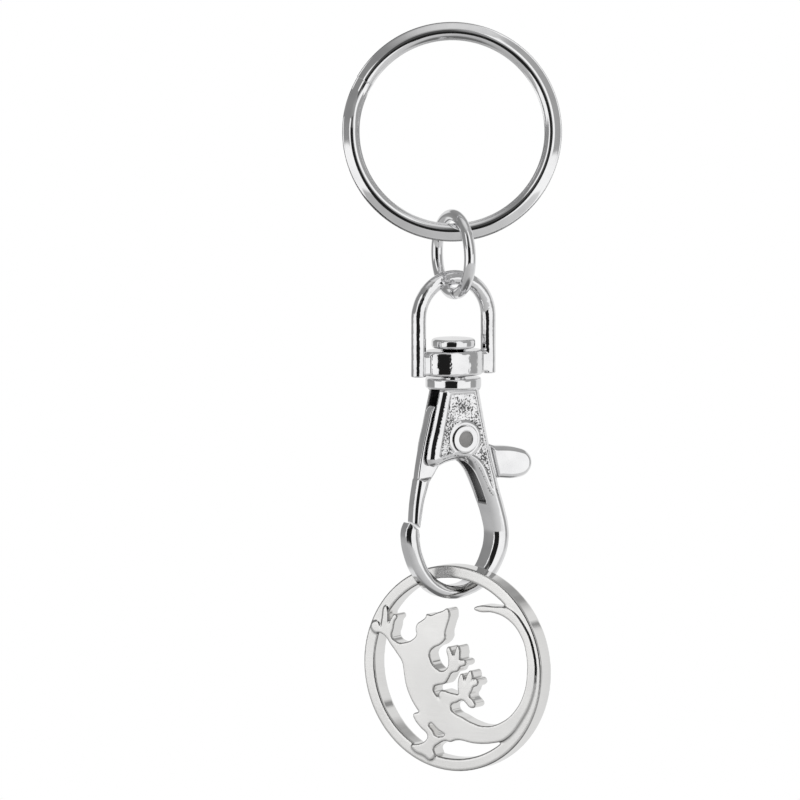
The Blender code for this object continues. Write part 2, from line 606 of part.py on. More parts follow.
def make_gate_lever(parts, guides):
    """One cast lever: gate arm, thicker below the side plates, hub round the pin and thumb tab."""
    outline = from_shares(GATE_TAIL_SHARES + GATE_NECK_SHARES + GATE_ARM_SHARES)
    lever = plate("gate_lever", outline, GATE_THICKNESS, parts, GATE_ROUND)
    end_inner, end_outer = gate_end()
    outline = from_shares(ARM_END_INNER_SHARES)
    outline += [(*end_inner, SHARP), (*end_outer, SHARP)]
    outline += from_shares(ARM_END_OUTER_SHARES)
    arm_end = plate("gate_arm_end", outline, ARM_END_THICKNESS, guides, ARM_END_ROUND)
    thumb_tab = plate("thumb_tab", from_shares(TAB_SHARES), TAB_THICKNESS, guides, TAB_ROUND)

    half = GATE_THICKNESS / 2
    pocket_floor = SPRING_POCKET_DEPTH - half
    bore_radius = PIN_DIAMETER / 2 + RUN_GAP
    pocket_radius = (SPRING_MEAN_DIAMETER + SPRING_WIRE) / 2 + RUN_GAP
    bore = turned("gate_bore", [
        (0, half + OVERRUN), (bore_radius, half + OVERRUN), (bore_radius, pocket_floor),
        (pocket_radius, pocket_floor), (pocket_radius, -half - OVERRUN), (0, -half - OVERRUN),
    ], guides, PIN_STEPS)
    bore.location = (PIVOT_ACROSS, -PIVOT_DROP, 0)
    tools = [bore]
    spring = SPRING_MEAN_DIAMETER / 2
    leg = -PIVOT_DROP - spring
    groove = rectangle(PIVOT_ACROSS - SPRING_ARM_LEG - LEG_GROOVE_SPARE, PIVOT_ACROSS,
                       leg - LEG_GROOVE_WIDTH / 2, leg + LEG_GROOVE_WIDTH / 2)
    rest = PIVOT_ACROSS + spring
    notch = rectangle(rest - REST_NOTCH_SPARE_IN, rest + SPRING_REST_FOOT + REST_NOTCH_SPARE_OUT,
                      -PIVOT_DROP, SPRING_REST_LEG - PIVOT_DROP + REST_NOTCH_SPARE_UP)
    for name, outline, depth in (
        ("leg_groove", groove, LEG_GROOVE_DEPTH), ("rest_notch", notch, REST_NOTCH_DEPTH),
    ):
        tool = plate(name, outline, depth + OVERRUN, guides)
        tool.location = (0, 0, (depth - OVERRUN) / 2 - half)
        tools.append(tool)
    for tool in tools:
        boolean(lever, tool, "DIFFERENCE")
    boolean(lever, thumb_tab, "UNION")
    boolean(lever, arm_end, "UNION")
    return lever, [thumb_tab, arm_end, *tools]


def make_pivot_pin(parts):
    """A pin with a dished head on each side plate."""
    seat = CLASP_DEPTH / 2 + FIT_GAP
    top = seat + PIN_HEAD_HEIGHT
    floor = top - PIN_DIMPLE_DEPTH
    head, shank, dimple = PIN_HEAD_DIAMETER / 2, PIN_DIAMETER / 2, PIN_DIMPLE_DIAMETER / 2
    upper = [(0, floor), (dimple, floor), (dimple, top), (head, top), (head, seat), (shank, seat)]
    profile = upper + [(radius, -height) for radius, height in reversed(upper)]
    return turned("pivot_pin", profile, parts, PIN_STEPS)


def make_gate_spring(parts):
    """A torsion spring round the pin: one leg in the gate arm, one bent foot under the web."""
    radius = SPRING_MEAN_DIAMETER / 2
    steps = round(SPRING_TURNS * SPRING_POINTS_PER_TURN)
    length = SPRING_PITCH * SPRING_TURNS
    back = -GATE_THICKNESS / 2 + SPRING_WIRE / 2
    points = []
    for i in range(steps + 1):
        angle = math.tau * SPRING_TURNS * i / steps
        points.append(Vector((radius * math.cos(angle), -radius * math.sin(angle),
                              back + length * i / steps)))
    points.insert(0, points[0] + Vector((0, SPRING_REST_LEG, 0)))
    points.insert(0, points[0] + Vector((SPRING_REST_FOOT, 0, 0)))
    points.append(points[-1] - Vector((SPRING_ARM_LEG, 0, 0)))
    return wire("gate_spring", points, SPRING_WIRE, parts, 2)


def make_trolley_coin(parts, guides):
    """A chamfered rim joined with the figure, which stands proud of its front."""
    outer, inner = COIN_DIAMETER / 2, RIM_INNER_RADIUS
    half, cut = RIM_THICKNESS / 2, RIM_CHAMFER
    profile = [
        (inner + cut, half), (outer - cut, half), (outer, half - cut), (outer, cut - half),
        (outer - cut, -half), (inner + cut, -half), (inner, cut - half), (inner, half - cut),
    ]
    coin = turned("trolley_coin", profile, parts, COIN_STEPS)
    radius = COIN_DIAMETER / 2
    depth = FIGURE_FRONT + FIGURE_BACK
    outline = (
        FIGURE_HEAD_SHARES + FIGURE_RIGHT_HAND_SHARES + FIGURE_RIGHT_FOOT_SHARES
        + FIGURE_TAIL_SHARES + FIGURE_LEFT_FOOT_SHARES + FIGURE_LEFT_SIDE_SHARES
        + FIGURE_LEFT_HAND_SHARES + FIGURE_CHEEK_SHARES
    )
    figure = plate("gecko_figure", outline, depth, guides, 0, 2, (radius, radius))
    figure.location = (0, 0, (FIGURE_FRONT - FIGURE_BACK) / 2)
    hole = plate("knee_hole", KNEE_HOLE_SHARES, depth + OVERRUN, guides, 0, 2, (radius, radius))
    boolean(coin, figure, "UNION")
    boolean(coin, hole, "DIFFERENCE")
    return coin, [figure, hole]


def place_tools(tools, frame):
    """Move a piece's hidden solids, drawn in the piece's own frame, to its place."""
    bpy.context.view_layer.update()
    for tool in tools:
        for step in tool.modifiers:
            if step.type == "BOOLEAN":
                step.object.matrix_world = frame @ step.object.matrix_world
        tool.matrix_world = frame @ tool.matrix_world


def main():
    clear_scene()
    parts = collection("trolley_coin_keyring")
    guides = collection("cutters_and_guides")
    materials = {name: finish_material(name) for name in FINISHES}

    hang = joint_empty("hang_point", Matrix.Identity(4), None, guides)
    jump_hinge = joint_empty("jump_ring_hinge", Matrix.Translation(JUMP_HINGE), hang, guides)
    shackle_hinge = joint_empty("shackle_hinge", Matrix.Translation(SHACKLE_HINGE), jump_hinge, guides)
    swivel = joint_empty("clasp_swivel", Matrix.Translation(SWIVEL), shackle_hinge, guides)
    clasp_frame = upright(SWIVEL, LINK_TURN)
    pivot = clasp_frame @ Matrix.Translation((PIVOT_ACROSS, -PIVOT_DROP, 0))
    gate_hinge = joint_empty("gate_hinge", pivot, swivel, guides)
    coin_hinge = joint_empty("coin_hinge", Matrix.Translation(COIN_HINGE), swivel, guides)

    ring_frame = upright(RING_CENTRE, 0, UPRIGHT - RING_LEAN)
    finish(make_split_ring(parts, guides), materials["ring_steel"], hang, ring_frame)

    jump_frame = upright(JUMP_HINGE + Vector((0, 0, JUMP_CENTRE_RISE)), JUMP_TURN)
    finish(make_jump_ring(parts), materials["link_chrome"], jump_hinge, jump_frame)

    shackle_frame = upright(SHACKLE_HINGE, LINK_TURN)
    shackle, tools = make_swivel_shackle(parts, guides)
    place_tools(tools, shackle_frame)
    finish(shackle, materials["link_chrome"], shackle_hinge, shackle_frame)

    finish(make_swivel_rivet(parts), materials["link_chrome"], swivel, Matrix.Translation(SWIVEL))

    body, tools = make_clasp_body(parts, guides)
    place_tools(tools, clasp_frame)
    finish(body, materials["clasp_nickel"], swivel, clasp_frame)

    lever, tools = make_gate_lever(parts, guides)
    place_tools(tools, clasp_frame)
    finish(lever, materials["clasp_nickel"], gate_hinge, clasp_frame)
    finish(make_pivot_pin(parts), materials["clasp_nickel"], swivel, pivot)
    finish(make_gate_spring(parts), materials["spring_steel"], swivel, pivot)

    coin_frame = upright(COIN_CENTRE, COIN_TURN)
    coin, tools = make_trolley_coin(parts, guides)
    place_tools(tools, coin_frame)
    finish(coin, materials["coin_nickel"], coin_hinge, coin_frame)


main()
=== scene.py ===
"""Trolley coin keyring, dressed for its picture: fine wire, castings and coin on the CAD frame.

Metres, in the CAD's frame. A flat piece is drawn in its own X, to the right, and Y, up, with its
front towards its own Z, and is then stood in its place.
"""

import json
import logging
import math
from dataclasses import dataclass
from enum import Enum
from typing import Any, Callable, ClassVar, Sequence

import bmesh
import bpy
from mathutils import Matrix, Vector
from mathutils.kdtree import KDTree


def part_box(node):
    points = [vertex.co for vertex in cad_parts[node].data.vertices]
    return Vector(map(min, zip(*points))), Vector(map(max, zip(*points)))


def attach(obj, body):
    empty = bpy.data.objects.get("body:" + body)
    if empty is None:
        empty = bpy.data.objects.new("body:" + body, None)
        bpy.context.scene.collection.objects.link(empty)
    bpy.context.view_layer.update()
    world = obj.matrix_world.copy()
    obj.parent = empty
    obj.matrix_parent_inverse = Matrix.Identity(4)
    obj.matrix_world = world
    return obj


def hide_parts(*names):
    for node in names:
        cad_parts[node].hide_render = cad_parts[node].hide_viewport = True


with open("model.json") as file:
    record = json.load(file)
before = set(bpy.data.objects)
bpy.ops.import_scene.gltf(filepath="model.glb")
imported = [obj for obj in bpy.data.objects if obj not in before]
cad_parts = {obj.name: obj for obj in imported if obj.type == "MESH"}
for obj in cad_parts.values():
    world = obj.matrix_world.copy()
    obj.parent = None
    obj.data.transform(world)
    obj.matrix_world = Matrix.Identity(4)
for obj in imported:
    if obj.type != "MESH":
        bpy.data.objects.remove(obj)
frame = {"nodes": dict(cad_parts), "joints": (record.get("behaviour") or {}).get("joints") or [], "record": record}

MM = 0.001
MERGE = 0.0005 * MM  # points closer than this are one
PAST = 1 * MM  # how far a cutter reaches past what it cuts
UP = Vector((0, 0, 1))
ALONG_Y = Matrix.Rotation(math.radians(-90), 4, "X")  # turns a shape's own Z to Y
ACROSS_SWEEP = Matrix.Rotation(math.radians(90), 4, "X")  # stands a section across its sweep
log = logging.getLogger("keyring")

Outline = Sequence[tuple[Any, ...]]
Stops = Sequence[tuple[float, float]]
Tone = tuple[float, float, float]
Work = bmesh.types.BMesh


class Knot(Enum):
    """How an outline passes a point."""

    ROUND = "AUTO"
    SHARP = "VECTOR"


class Shaping(Enum):
    """What a second solid does to a casting."""

    JOIN = "UNION"
    CUT = "DIFFERENCE"


ROUND, SHARP = Knot.ROUND, Knot.SHARP


# Materials


class Level:
    """A value that runs through a finish. Arithmetic on it lays Math nodes."""

    def __init__(self, bench: "Bench", socket: bpy.types.NodeSocket) -> None:
        """Wrap one output socket of a bench."""
        self.bench, self.socket = bench, socket

    def _math(self, operation: str, first: Any, second: Any) -> "Level":
        """Lay one Math node."""
        return self.bench.node("ShaderNodeMath", {"operation": operation}, {0: first, 1: second})

    def __add__(self, other: Any) -> "Level":
        """Self + other."""
        return self._math("ADD", self, other)

    __radd__ = __add__

    def __sub__(self, other: Any) -> "Level":
        """Self - other."""
        return self._math("SUBTRACT", self, other)

    def __rsub__(self, other: Any) -> "Level":
        """Other - self."""
        return self._math("SUBTRACT", other, self)

    def __mul__(self, other: Any) -> "Level":
        """Self x other."""
        return self._math("MULTIPLY", self, other)

    __rmul__ = __mul__

    def __pow__(self, other: Any) -> "Level":
        """Self to a power."""
        return self._math("POWER", self, other)


class Bench:
    """Lays out the nodes of one material or world."""

    def __init__(self, tree: bpy.types.NodeTree) -> None:
        """Clear the tree."""
        self.tree = tree
        tree.nodes.clear()

    def node(
        self, kind: str, settings: dict[str, Any] | None = None,
        sockets: dict[Any, Any] | None = None, output: int | str = 0,
    ) -> Level:
        """Lay one node.

        Args:
            kind: the node's type.
            settings: its properties, set first; "stops" are a ramp's positions and greys.
            sockets: values or levels for its inputs.
            output: the output that the result stands for.

        Returns:
            The output, or the first input of a node that has no outputs.
        """
        made = self.tree.nodes.new(kind)
        for key, value in (settings or {}).items():
            if key == "stops":
                self._set_stops(made.color_ramp, value)
            else:
                setattr(made, key, value)
        for key, value in (sockets or {}).items():
            if isinstance(value, Level):
                self.tree.links.new(value.socket, made.inputs[key])
            else:
                made.inputs[key].default_value = value
        if not made.outputs:
            return Level(self, made.inputs[0])
        return Level(self, made.outputs[output])

    @staticmethod
    def _set_stops(ramp: bpy.types.ColorRamp, stops: Stops) -> None:
        """Give a ramp its greys.

        Args:
            ramp: the ramp.
            stops: its positions and greys.
        """
        while len(ramp.elements) < len(stops):
            ramp.elements.new(1)
        for element, (position, grey) in zip(ramp.elements, stops):
            element.position = position
            element.color = (grey, grey, grey, 1)

    def place(self) -> Level:
        """Object coordinates."""
        return self.node("ShaderNodeTexCoord", output="Object")

    def mark(self, name: str) -> Level:
        """One of the piece's own attributes."""
        return self.node("ShaderNodeAttribute", {"attribute_name": name}, output="Fac")

    def seen(self) -> Level:
        """Share of what the eye, metal and glass see.

        Returns:
            1 for what they see and 0 for the light that a surface gives to others.
        """
        eye = self.node("ShaderNodeLightPath", output="Is Camera Ray")
        metal = self.node("ShaderNodeLightPath", output="Is Glossy Ray")
        glass = self.node("ShaderNodeLightPath", output="Is Transmission Ray")
        return eye + metal + glass

    def noise(self, scale: float, detail: float = 2, at: Level | None = None) -> Level:
        """Noise of so many waves a metre."""
        return self.node(
            "ShaderNodeTexNoise", {}, {"Vector": at or self.place(), "Scale": scale, "Detail": detail}
        )

    def ramp(self, value: Level, stops: Stops) -> Level:
        """Map a value through a grey ramp."""
        return self.node("ShaderNodeValToRGB", {"stops": stops}, {0: value})

    def tint(self, share: Level, low: Tone, high: Tone) -> Level:
        """Mix two colours by a share."""
        return self.node(
            "ShaderNodeMix", {"data_type": "RGBA"},
            {0: share, 6: (*low, 1), 7: (*high, 1)}, 2,
        )

    def shaded(self, colour: Level, shade: Level) -> Level:
        """Darken a colour to a share of itself."""
        return self.node(
            "ShaderNodeMix", {"data_type": "RGBA", "blend_type": "MULTIPLY"},
            {0: 1.0, 6: colour, 7: shade}, 2,
        )

    def axes(self, vector: Level) -> list[Level]:
        """Split a vector into X, Y and Z."""
        split = self.node("ShaderNodeSeparateXYZ", {}, {0: vector})
        return [Level(self, socket) for socket in split.socket.node.outputs]

    def within(self, value: Level, middle: float, half: float, soft: float) -> Level:
        """Share that is 1 near a value and falls to 0 beyond.

        Args:
            value: the value.
            middle: the value with a share of 1.
            half: how far the share stays 1.
            soft: how much farther it takes to reach 0.

        Returns:
            The share.
        """
        away = self.node("ShaderNodeMath", {"operation": "ABSOLUTE"}, {0: value - middle})
        return self.node(
            "ShaderNodeMapRange", {"interpolation_type": "SMOOTHSTEP"},
            {"Value": away, "From Min": half + soft, "From Max": half},
        )

    def bump(self, height: Level, reach: float, under: Level | None = None) -> Level:
        """Raise the surface.

        Args:
            height: the height, as a share.
            reach: how many metres a share of 1 stands for.
            under: the surface that it is laid on.

        Returns:
            The surface's new normal.
        """
        sockets = {"Height": height, "Distance": reach, "Strength": 1.0}
        if under:
            sockets["Normal"] = under
        return self.node("ShaderNodeBump", {}, sockets)

    def surface(self, sockets: dict[Any, Any]) -> None:
        """Finish a material with one Principled shader."""
        shader = self.node("ShaderNodeBsdfPrincipled", {}, sockets)
        self.node("ShaderNodeOutputMaterial", {}, {"Surface": shader})


def new_material(name: str) -> tuple[bpy.types.Material, Bench]:
    """Make an empty material.

    Args:
        name: the material's name.

    Returns:
        The material and its bench.
    """
    material = bpy.data.materials.new(name)
    material.use_nodes = True
    return material, Bench(material.node_tree)


@dataclass(frozen=True)
class Plating:
    """Bright plate on wire or a casting: faint clouding, fine rubbing and a cast ripple."""

    name: str
    tone: Tone = (0.9, 0.9, 0.905)
    dull_tone: Tone = (0.8, 0.8, 0.81)
    roughness: float = 0.045
    rubbing: float = 0.05
    ripple: float = 0.0
    ripple_waves: float = 700
    ripple_detail: float = 1
    cloud_waves: float = 450
    cloud_share: float = 0.7
    grit_waves: float = 9000
    grit_height: float = 0.0006 * MM

    RUBBED: ClassVar[Stops] = [(0.42, 0), (0.66, 1)]

    def lay(self, bench: Bench) -> dict[str, Any]:
        """Lay the plate's levels.

        Args:
            bench: the material's bench.

        Returns:
            The Principled sockets.
        """
        clouds = bench.noise(self.cloud_waves, 3)
        grit = bench.noise(self.grit_waves, 2)
        mottle = clouds * self.cloud_share + grit * (1 - self.cloud_share)
        rubbed = bench.ramp(mottle, self.RUBBED)
        sockets = {
            "Base Color": bench.tint(rubbed, self.tone, self.dull_tone),
            "Metallic": 1.0,
            "Roughness": self.roughness + self.rubbing * rubbed,
        }
        normal = bench.bump(grit, self.grit_height)
        if self.ripple:
            waves = bench.noise(self.ripple_waves, self.ripple_detail)
            normal = bench.bump(waves, self.ripple, normal)
        sockets["Normal"] = normal
        return sockets

    def make(self) -> bpy.types.Material:
        """Build the finish.

        Returns:
            The material.
        """
        material, bench = new_material(self.name)
        bench.surface(self.lay(bench))
        return material


@dataclass(frozen=True)
class PebbledPlating(Plating):
    """The same plate, pebbled by "pebbled" with painted shade in its pits, rougher and darkened by painted shade
    where "inside" is.
    """

    pebble_waves: float = 5200
    pebble_height: float = 0.045 * MM
    pebble_dulling: float = 0.1
    drift_pebbles: float = 7
    drift_spread: float = 0.2
    thinning: float = 0.12
    # Share of its colour that a pebble's pit keeps: painted shade.
    pit_shade_tone: float = 0.13
    # Share of its colour that the slot's walls keep: painted shade.
    slot_shade_tone: float = 0.32
    inside_dulling: float = 0.3

    PITS: ClassVar[Stops] = [(0.49, 1), (0.55, 0)]
    BEDS: ClassVar[Stops] = [(0.02, 0), (0.1, 1)]

    def make(self) -> bpy.types.Material:
        """Build the finish.

        Returns:
            The material.
        """
        material, bench = new_material(self.name)
        sockets = self.lay(bench)
        pebbled, inside = bench.mark("pebbled"), bench.mark("inside")
        grains = bench.noise(self.pebble_waves, 3)
        drifts = bench.noise(self.pebble_waves / self.drift_pebbles, 1)
        sparse = (1 - pebbled) * self.thinning + (drifts - 0.5) * self.drift_spread
        pits = bench.ramp(grains + sparse, self.PITS)
        # Painted shade: the pebbles' pits, where the bump is low, are darkened to pit_shade_tone.
        shade = 1 - (1 - self.pit_shade_tone) * pits * bench.ramp(pebbled, self.BEDS)
        # Painted shade: the walls inside the gate's slot are darkened to slot_shade_tone of their colour.
        shade = shade * (1 - (1 - self.slot_shade_tone) * inside)
        dulling = self.pebble_dulling * pebbled + self.inside_dulling * inside
        sockets["Base Color"] = bench.shaded(sockets["Base Color"], shade)
        sockets["Normal"] = bench.bump(grains * pebbled, self.pebble_height, sockets["Normal"])
        sockets["Roughness"] = sockets["Roughness"] + dulling
        bench.surface(sockets)
        return material


@dataclass(frozen=True)
class SatinPlate:
    """Nickel of the coin: satin by the attribute "face", its rounded edges darkened by "edge" as painted
    reflection, bright between.
    """

    name: str
    tone: Tone = (0.87, 0.865, 0.855)
    dull_tone: Tone = (0.79, 0.785, 0.775)
    roughness: float = 0.19
    wall_roughness: float = 0.045
    cloud_roughness: float = 0.12
    # How much the rounded edges are darkened: painted dark reflection.
    painted_edge_shade: float = 0.62
    grain_waves: float = 14000
    cloud_waves: float = 180
    line_waves: tuple[float, float, float] = (300, 300, 9000)
    cloud_share: float = 0.5
    grain_share: float = 0.2
    relief: float = 0.0012 * MM
    grain_relief: float = 0.6

    MOTTLED: ClassVar[Stops] = [(0.35, 0), (0.65, 1)]

    def make(self) -> bpy.types.Material:
        """Build the finish.

        Returns:
            The material.
        """
        material, bench = new_material(self.name)
        grain = bench.noise(self.grain_waves, 2)
        clouds = bench.noise(self.cloud_waves, 3)
        stretched = bench.node(
            "ShaderNodeMapping", {}, {"Vector": bench.place(), "Scale": self.line_waves}
        )
        lines = bench.noise(1, 2, stretched)
        line_share = 1 - self.cloud_share - self.grain_share
        mottle = clouds * self.cloud_share + grain * self.grain_share + lines * line_share
        nickel = bench.tint(bench.ramp(mottle, self.MOTTLED), self.tone, self.dull_tone)
        scratched = grain * self.grain_relief + lines * (1 - self.grain_relief)
        satin = self.roughness - self.wall_roughness + self.cloud_roughness * clouds
        bench.surface({
            # Painted reflection: the rounded edges are darkened as if they mirrored dark surroundings.
            "Base Color": bench.shaded(nickel, 1 - self.painted_edge_shade * bench.mark("edge")),
            "Metallic": 1.0,
            "Roughness": self.wall_roughness + satin * bench.mark("face"),
            "Normal": bench.bump(scratched, self.relief),
        })
        return material


@dataclass(frozen=True)
class DrawnWire:
    """Plain drawn spring steel with draw lines along it."""

    name: str
    tone: Tone = (0.24, 0.235, 0.23)
    dull_tone: Tone = (0.15, 0.145, 0.14)
    roughness: float = 0.25
    rubbing: float = 0.2
    line_waves: float = 16000
    line_height: float = 0.002 * MM

    def make(self) -> bpy.types.Material:
        """Build the finish.

        Returns:
            The material.
        """
        material, bench = new_material(self.name)
        lines = bench.noise(self.line_waves, 3)
        bench.surface({
            "Base Color": bench.tint(lines, self.tone, self.dull_tone),
            "Metallic": 1.0,
            "Roughness": self.roughness + self.rubbing * lines,
            "Normal": bench.bump(lines, self.line_height),
        })
        return material


# Making shapes


def own_frame(place: Vector, across: Vector, up: Vector = UP) -> Matrix:
    """Frame of a flat piece.

    Args:
        place: where its own origin stands.
        across: its own X.
        up: its own Y.

    Returns:
        The matrix from the piece's own frame to the object's.
    """
    front = across.cross(up)
    turn = Matrix((across, up, front)).transposed().to_4x4()
    return Matrix.Translation(place) @ turn


def linked(name: str, data: Any) -> bpy.types.Object:
    """Link a new object to the scene.

    Args:
        name: the object's name.
        data: its mesh, curve, lamp or camera.

    Returns:
        The object.
    """
    item = bpy.data.objects.new(name, data)
    bpy.context.scene.collection.objects.link(item)
    return item


def as_mesh(item: bpy.types.Object) -> bpy.types.Mesh:
    """A new mesh of an object as its modifiers or its curve leave it."""
    seen = item.evaluated_get(bpy.context.evaluated_depsgraph_get())
    return bpy.data.meshes.new_from_object(seen)


def to_object(name: str, work: Work, place: Matrix | None = None) -> bpy.types.Object:
    """Close a bmesh into a smooth-shaded object whose place is in its mesh.

    Args:
        name: the object's name.
        work: the bmesh, which is freed.
        place: the frame that the shape is stood in.

    Returns:
        The new object, at the origin.
    """
    bmesh.ops.remove_doubles(work, verts=work.verts, dist=MERGE)
    if place:
        bmesh.ops.transform(work, matrix=place, verts=work.verts)
    bmesh.ops.recalc_face_normals(work, faces=work.faces)
    mesh = bpy.data.meshes.new(name)
    work.to_mesh(mesh)
    work.free()
    mesh.shade_smooth()
    return linked(name, mesh)


def bevel(work: Work, edges: Sequence[bmesh.types.BMEdge], width: float, segments: int) -> None:
    """Round some edges off."""
    bmesh.ops.bevel(
        work, geom=edges, offset=width, offset_type="OFFSET", segments=segments, profile=0.5,
        affect="EDGES", material=-1, clamp_overlap=True,
    )


def soften(work: Work, width: float, segments: int = 3, over: float = 30) -> None:
    """Round the sharp edges off.

    Args:
        work: the bmesh.
        width: the bevel's width.
        segments: the steps over the bevel.
        over: the degrees over which an edge is sharp.
    """
    sharp = [
        edge for edge in work.edges
        if len(edge.link_faces) == 2 and math.degrees(edge.calc_face_angle()) > over
    ]
    bevel(work, sharp, width, segments)


def swept(
    work: Work, section: list[Any], angle: float, steps: int, rise: float = 0, centre: float = 0,
    axis: tuple[float, float, float] = (0, 0, 1),
) -> list[Any]:
    """Sweep a section about an axis along Z.

    Args:
        work: the bmesh.
        section: the section's face, edges and points.
        angle: the angle of the sweep.
        steps: its steps.
        rise: how far it climbs along Z.
        centre: how far up Y the axis stands.
        axis: the axis, up or down.

    Returns:
        The section at the sweep's end.
    """
    return bmesh.ops.spin(
        work, geom=section, cent=(0, centre, 0), axis=axis, dvec=(0, 0, rise / steps),
        angle=angle, steps=steps, use_merge=False, use_duplicate=False,
    )["geom_last"]


def turned(profile: Sequence[tuple[float, float]], steps: int) -> Work:
    """Turn a profile of radius and height about its own Z.

    Args:
        profile: the points, from the axis to the axis again, or all round and clear of it.
        steps: the number of steps of the turn.

    Returns:
        The closed shape.
    """
    work = bmesh.new()
    points = [work.verts.new((radius, 0, height)) for radius, height in profile]
    edges = [work.edges.new(pair) for pair in zip(points, points[1:])]
    if profile[0][0] > 0:
        edges.append(work.edges.new((points[-1], points[0])))
    bmesh.ops.spin(
        work, geom=points + edges, cent=(0, 0, 0), axis=(0, 0, 1), dvec=(0, 0, 0),
        angle=math.tau, steps=steps, use_merge=True, use_duplicate=False,
    )
    bmesh.ops.remove_doubles(work, verts=work.verts, dist=MERGE)
    bmesh.ops.recalc_face_normals(work, faces=work.faces)
    return work


def rod(radius: float, low: float, high: float, steps: int = 72) -> Work:
    """A plain round rod from one height to another."""
    return turned([(0, high), (radius, high), (radius, low), (0, low)], steps)


def drawn(
    name: str, outline: Outline, steps: int, fill: str = "NONE", depth: float = 0, rim: float = 0,
) -> bpy.types.Mesh:
    """Draw an outline as a flat curve and make it a mesh.

    Args:
        name: the mesh's name.
        outline: points of X, Y and, where it isn't round, the kind of knot.
        steps: the steps from one point to the next.
        fill: how the curve is filled.
        depth: the thickness.
        rim: the radius of the rims.

    Returns:
        The mesh.
    """
    curve = bpy.data.curves.new(name, "CURVE")
    curve.dimensions = "2D"
    curve.fill_mode = fill
    curve.resolution_u = steps
    curve.extrude = depth / 2 - rim
    curve.bevel_depth = rim
    curve.bevel_resolution = 3
    curve.offset = -rim
    spline = curve.splines.new("BEZIER")
    spline.bezier_points.add(len(outline) - 1)
    for knot, point in zip(spline.bezier_points, outline):
        kind = point[2].value if len(point) > 2 else ROUND.value
        knot.co = (point[0], point[1], 0)
        knot.handle_left_type = kind
        knot.handle_right_type = kind
    spline.use_cyclic_u = True
    item = linked(name, curve)
    mesh = as_mesh(item)
    bpy.data.objects.remove(item)
    return mesh


def cut_plate(
    name: str, outline: Outline, depth: float, rim: float = 0, steps: int = 8,
) -> bpy.types.Object:
    """Give a flat outline a depth and rounded rims.

    Args:
        name: the plate's name.
        outline: its outline.
        depth: its thickness, half of it on either side of its own XY plane.
        rim: the radius of its rims.
        steps: the steps from one point of the outline to the next.

    Returns:
        The plate.
    """
    work = bmesh.new()
    work.from_mesh(drawn(name, outline, steps, "BOTH", depth, rim))
    return to_object(name, work)


@dataclass(frozen=True)
class Crown:
    """How the faces of a flat casting fall away to its rim: an arc, then a facet as steep."""

    radius: float
    steepest: float = math.radians(54)

    RIM_STEPS: ClassVar[int] = 100

    def press(
        self, mesh: bpy.types.Mesh, outline: Outline, half_depth: Callable[[Vector], float],
        facet: Callable[[Vector], float],
    ) -> None:
        """Press the crown into a casting.

        Args:
            mesh: the casting's mesh, in its own frame.
            outline: its outline.
            half_depth: half the casting's depth at a place.
            facet: the facet's width at a place.
        """
        rim = drawn("rim", outline, self.RIM_STEPS).vertices
        tree = KDTree(len(rim))
        for i, point in enumerate(rim):
            tree.insert(point.co, i)
        tree.balance()
        arc = self.radius * math.sin(self.steepest)
        for vertex in mesh.vertices:
            spot = vertex.co
            away = tree.find((spot.x, spot.y, 0))[2]
            flat = facet(spot)
            inward = min(max(arc + flat - away, 0), arc)
            fall = self.radius - math.sqrt(self.radius ** 2 - inward ** 2)
            fall += max(flat - away, 0) * math.tan(self.steepest)
            limit = half_depth(spot) - fall
            if abs(spot.z) > limit:
                spot.z = math.copysign(limit, spot.z)


class Casting:
    """A blank that other solids join or cut, under one fine skin with soft edges."""

    def __init__(self, blank: bpy.types.Object) -> None:
        """Start from a blank."""
        self.blank = blank
        self.tools: list[bpy.types.Object] = []

    def shape(self, tool: bpy.types.Object, how: Shaping, place: Matrix | None = None) -> None:
        """Join or cut the blank with another solid.

        Args:
            tool: the other solid.
            how: joining or cutting.
            place: where the other solid stands in the blank's own frame.
        """
        if place:
            tool.data.transform(place)
        step = self.blank.modifiers.new(tool.name, "BOOLEAN")
        step.operation = how.value
        step.solver = "EXACT"
        step.object = tool
        self.tools.append(tool)

    def pour(self, grain: float, passes: int) -> bpy.types.Object:
        """Give the casting its skin and make it one mesh, in its own frame.

        Args:
            grain: the size of the skin's faces.
            passes: how often its edges are smoothed.

        Returns:
            The finished object.
        """
        skin = self.blank.modifiers.new("Skin", "REMESH")
        skin.mode = "VOXEL"
        skin.voxel_size = grain
        skin.use_smooth_shade = True
        edges = self.blank.modifiers.new("Soften", "SMOOTH")
        edges.factor = 0.5
        edges.iterations = passes
        return self.settle()

    def settle(self) -> bpy.types.Object:
        """Make the casting one mesh as it stands, in its own frame.

        Returns:
            The object.
        """
        name, mesh = self.blank.name, as_mesh(self.blank)
        for item in (self.blank, *self.tools):
            bpy.data.objects.remove(item)
        mesh.shade_smooth()
        return linked(name, mesh)


def set_mark(
    mesh: bpy.types.Mesh, name: str, share: Callable[[bpy.types.MeshVertex], float],
) -> None:
    """Give a mesh an attribute that its finish reads.

    Args:
        mesh: the mesh, in the piece's own frame.
        name: the attribute's name.
        share: its value at a point.
    """
    marks = mesh.attributes.new(name, "FLOAT", "POINT")
    for vertex, mark in zip(mesh.vertices, marks.data):
        mark.value = share(vertex)


def dress(
    piece: bpy.types.Object, node: str, body: str,
    materials: Sequence[bpy.types.Material],
) -> None:
    """Give a piece its finish and its place in the frame.

    Args:
        piece: the finished piece.
        node: the CAD node that it stands for.
        body: the CAD body that it rides on.
        materials: its materials.
    """
    for material in materials:
        piece.data.materials.append(material)
    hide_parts(node)
    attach(piece, body)
    log.info("%s stands for %s, %d faces", piece.name, node, len(piece.data.polygons))


# The frame's own places

JOINTS = {joint["name"]: joint for joint in frame["joints"]}


def joint_place(name: str) -> Vector:
    """Where a joint stands."""
    return Vector(JOINTS[name]["pos_m"])


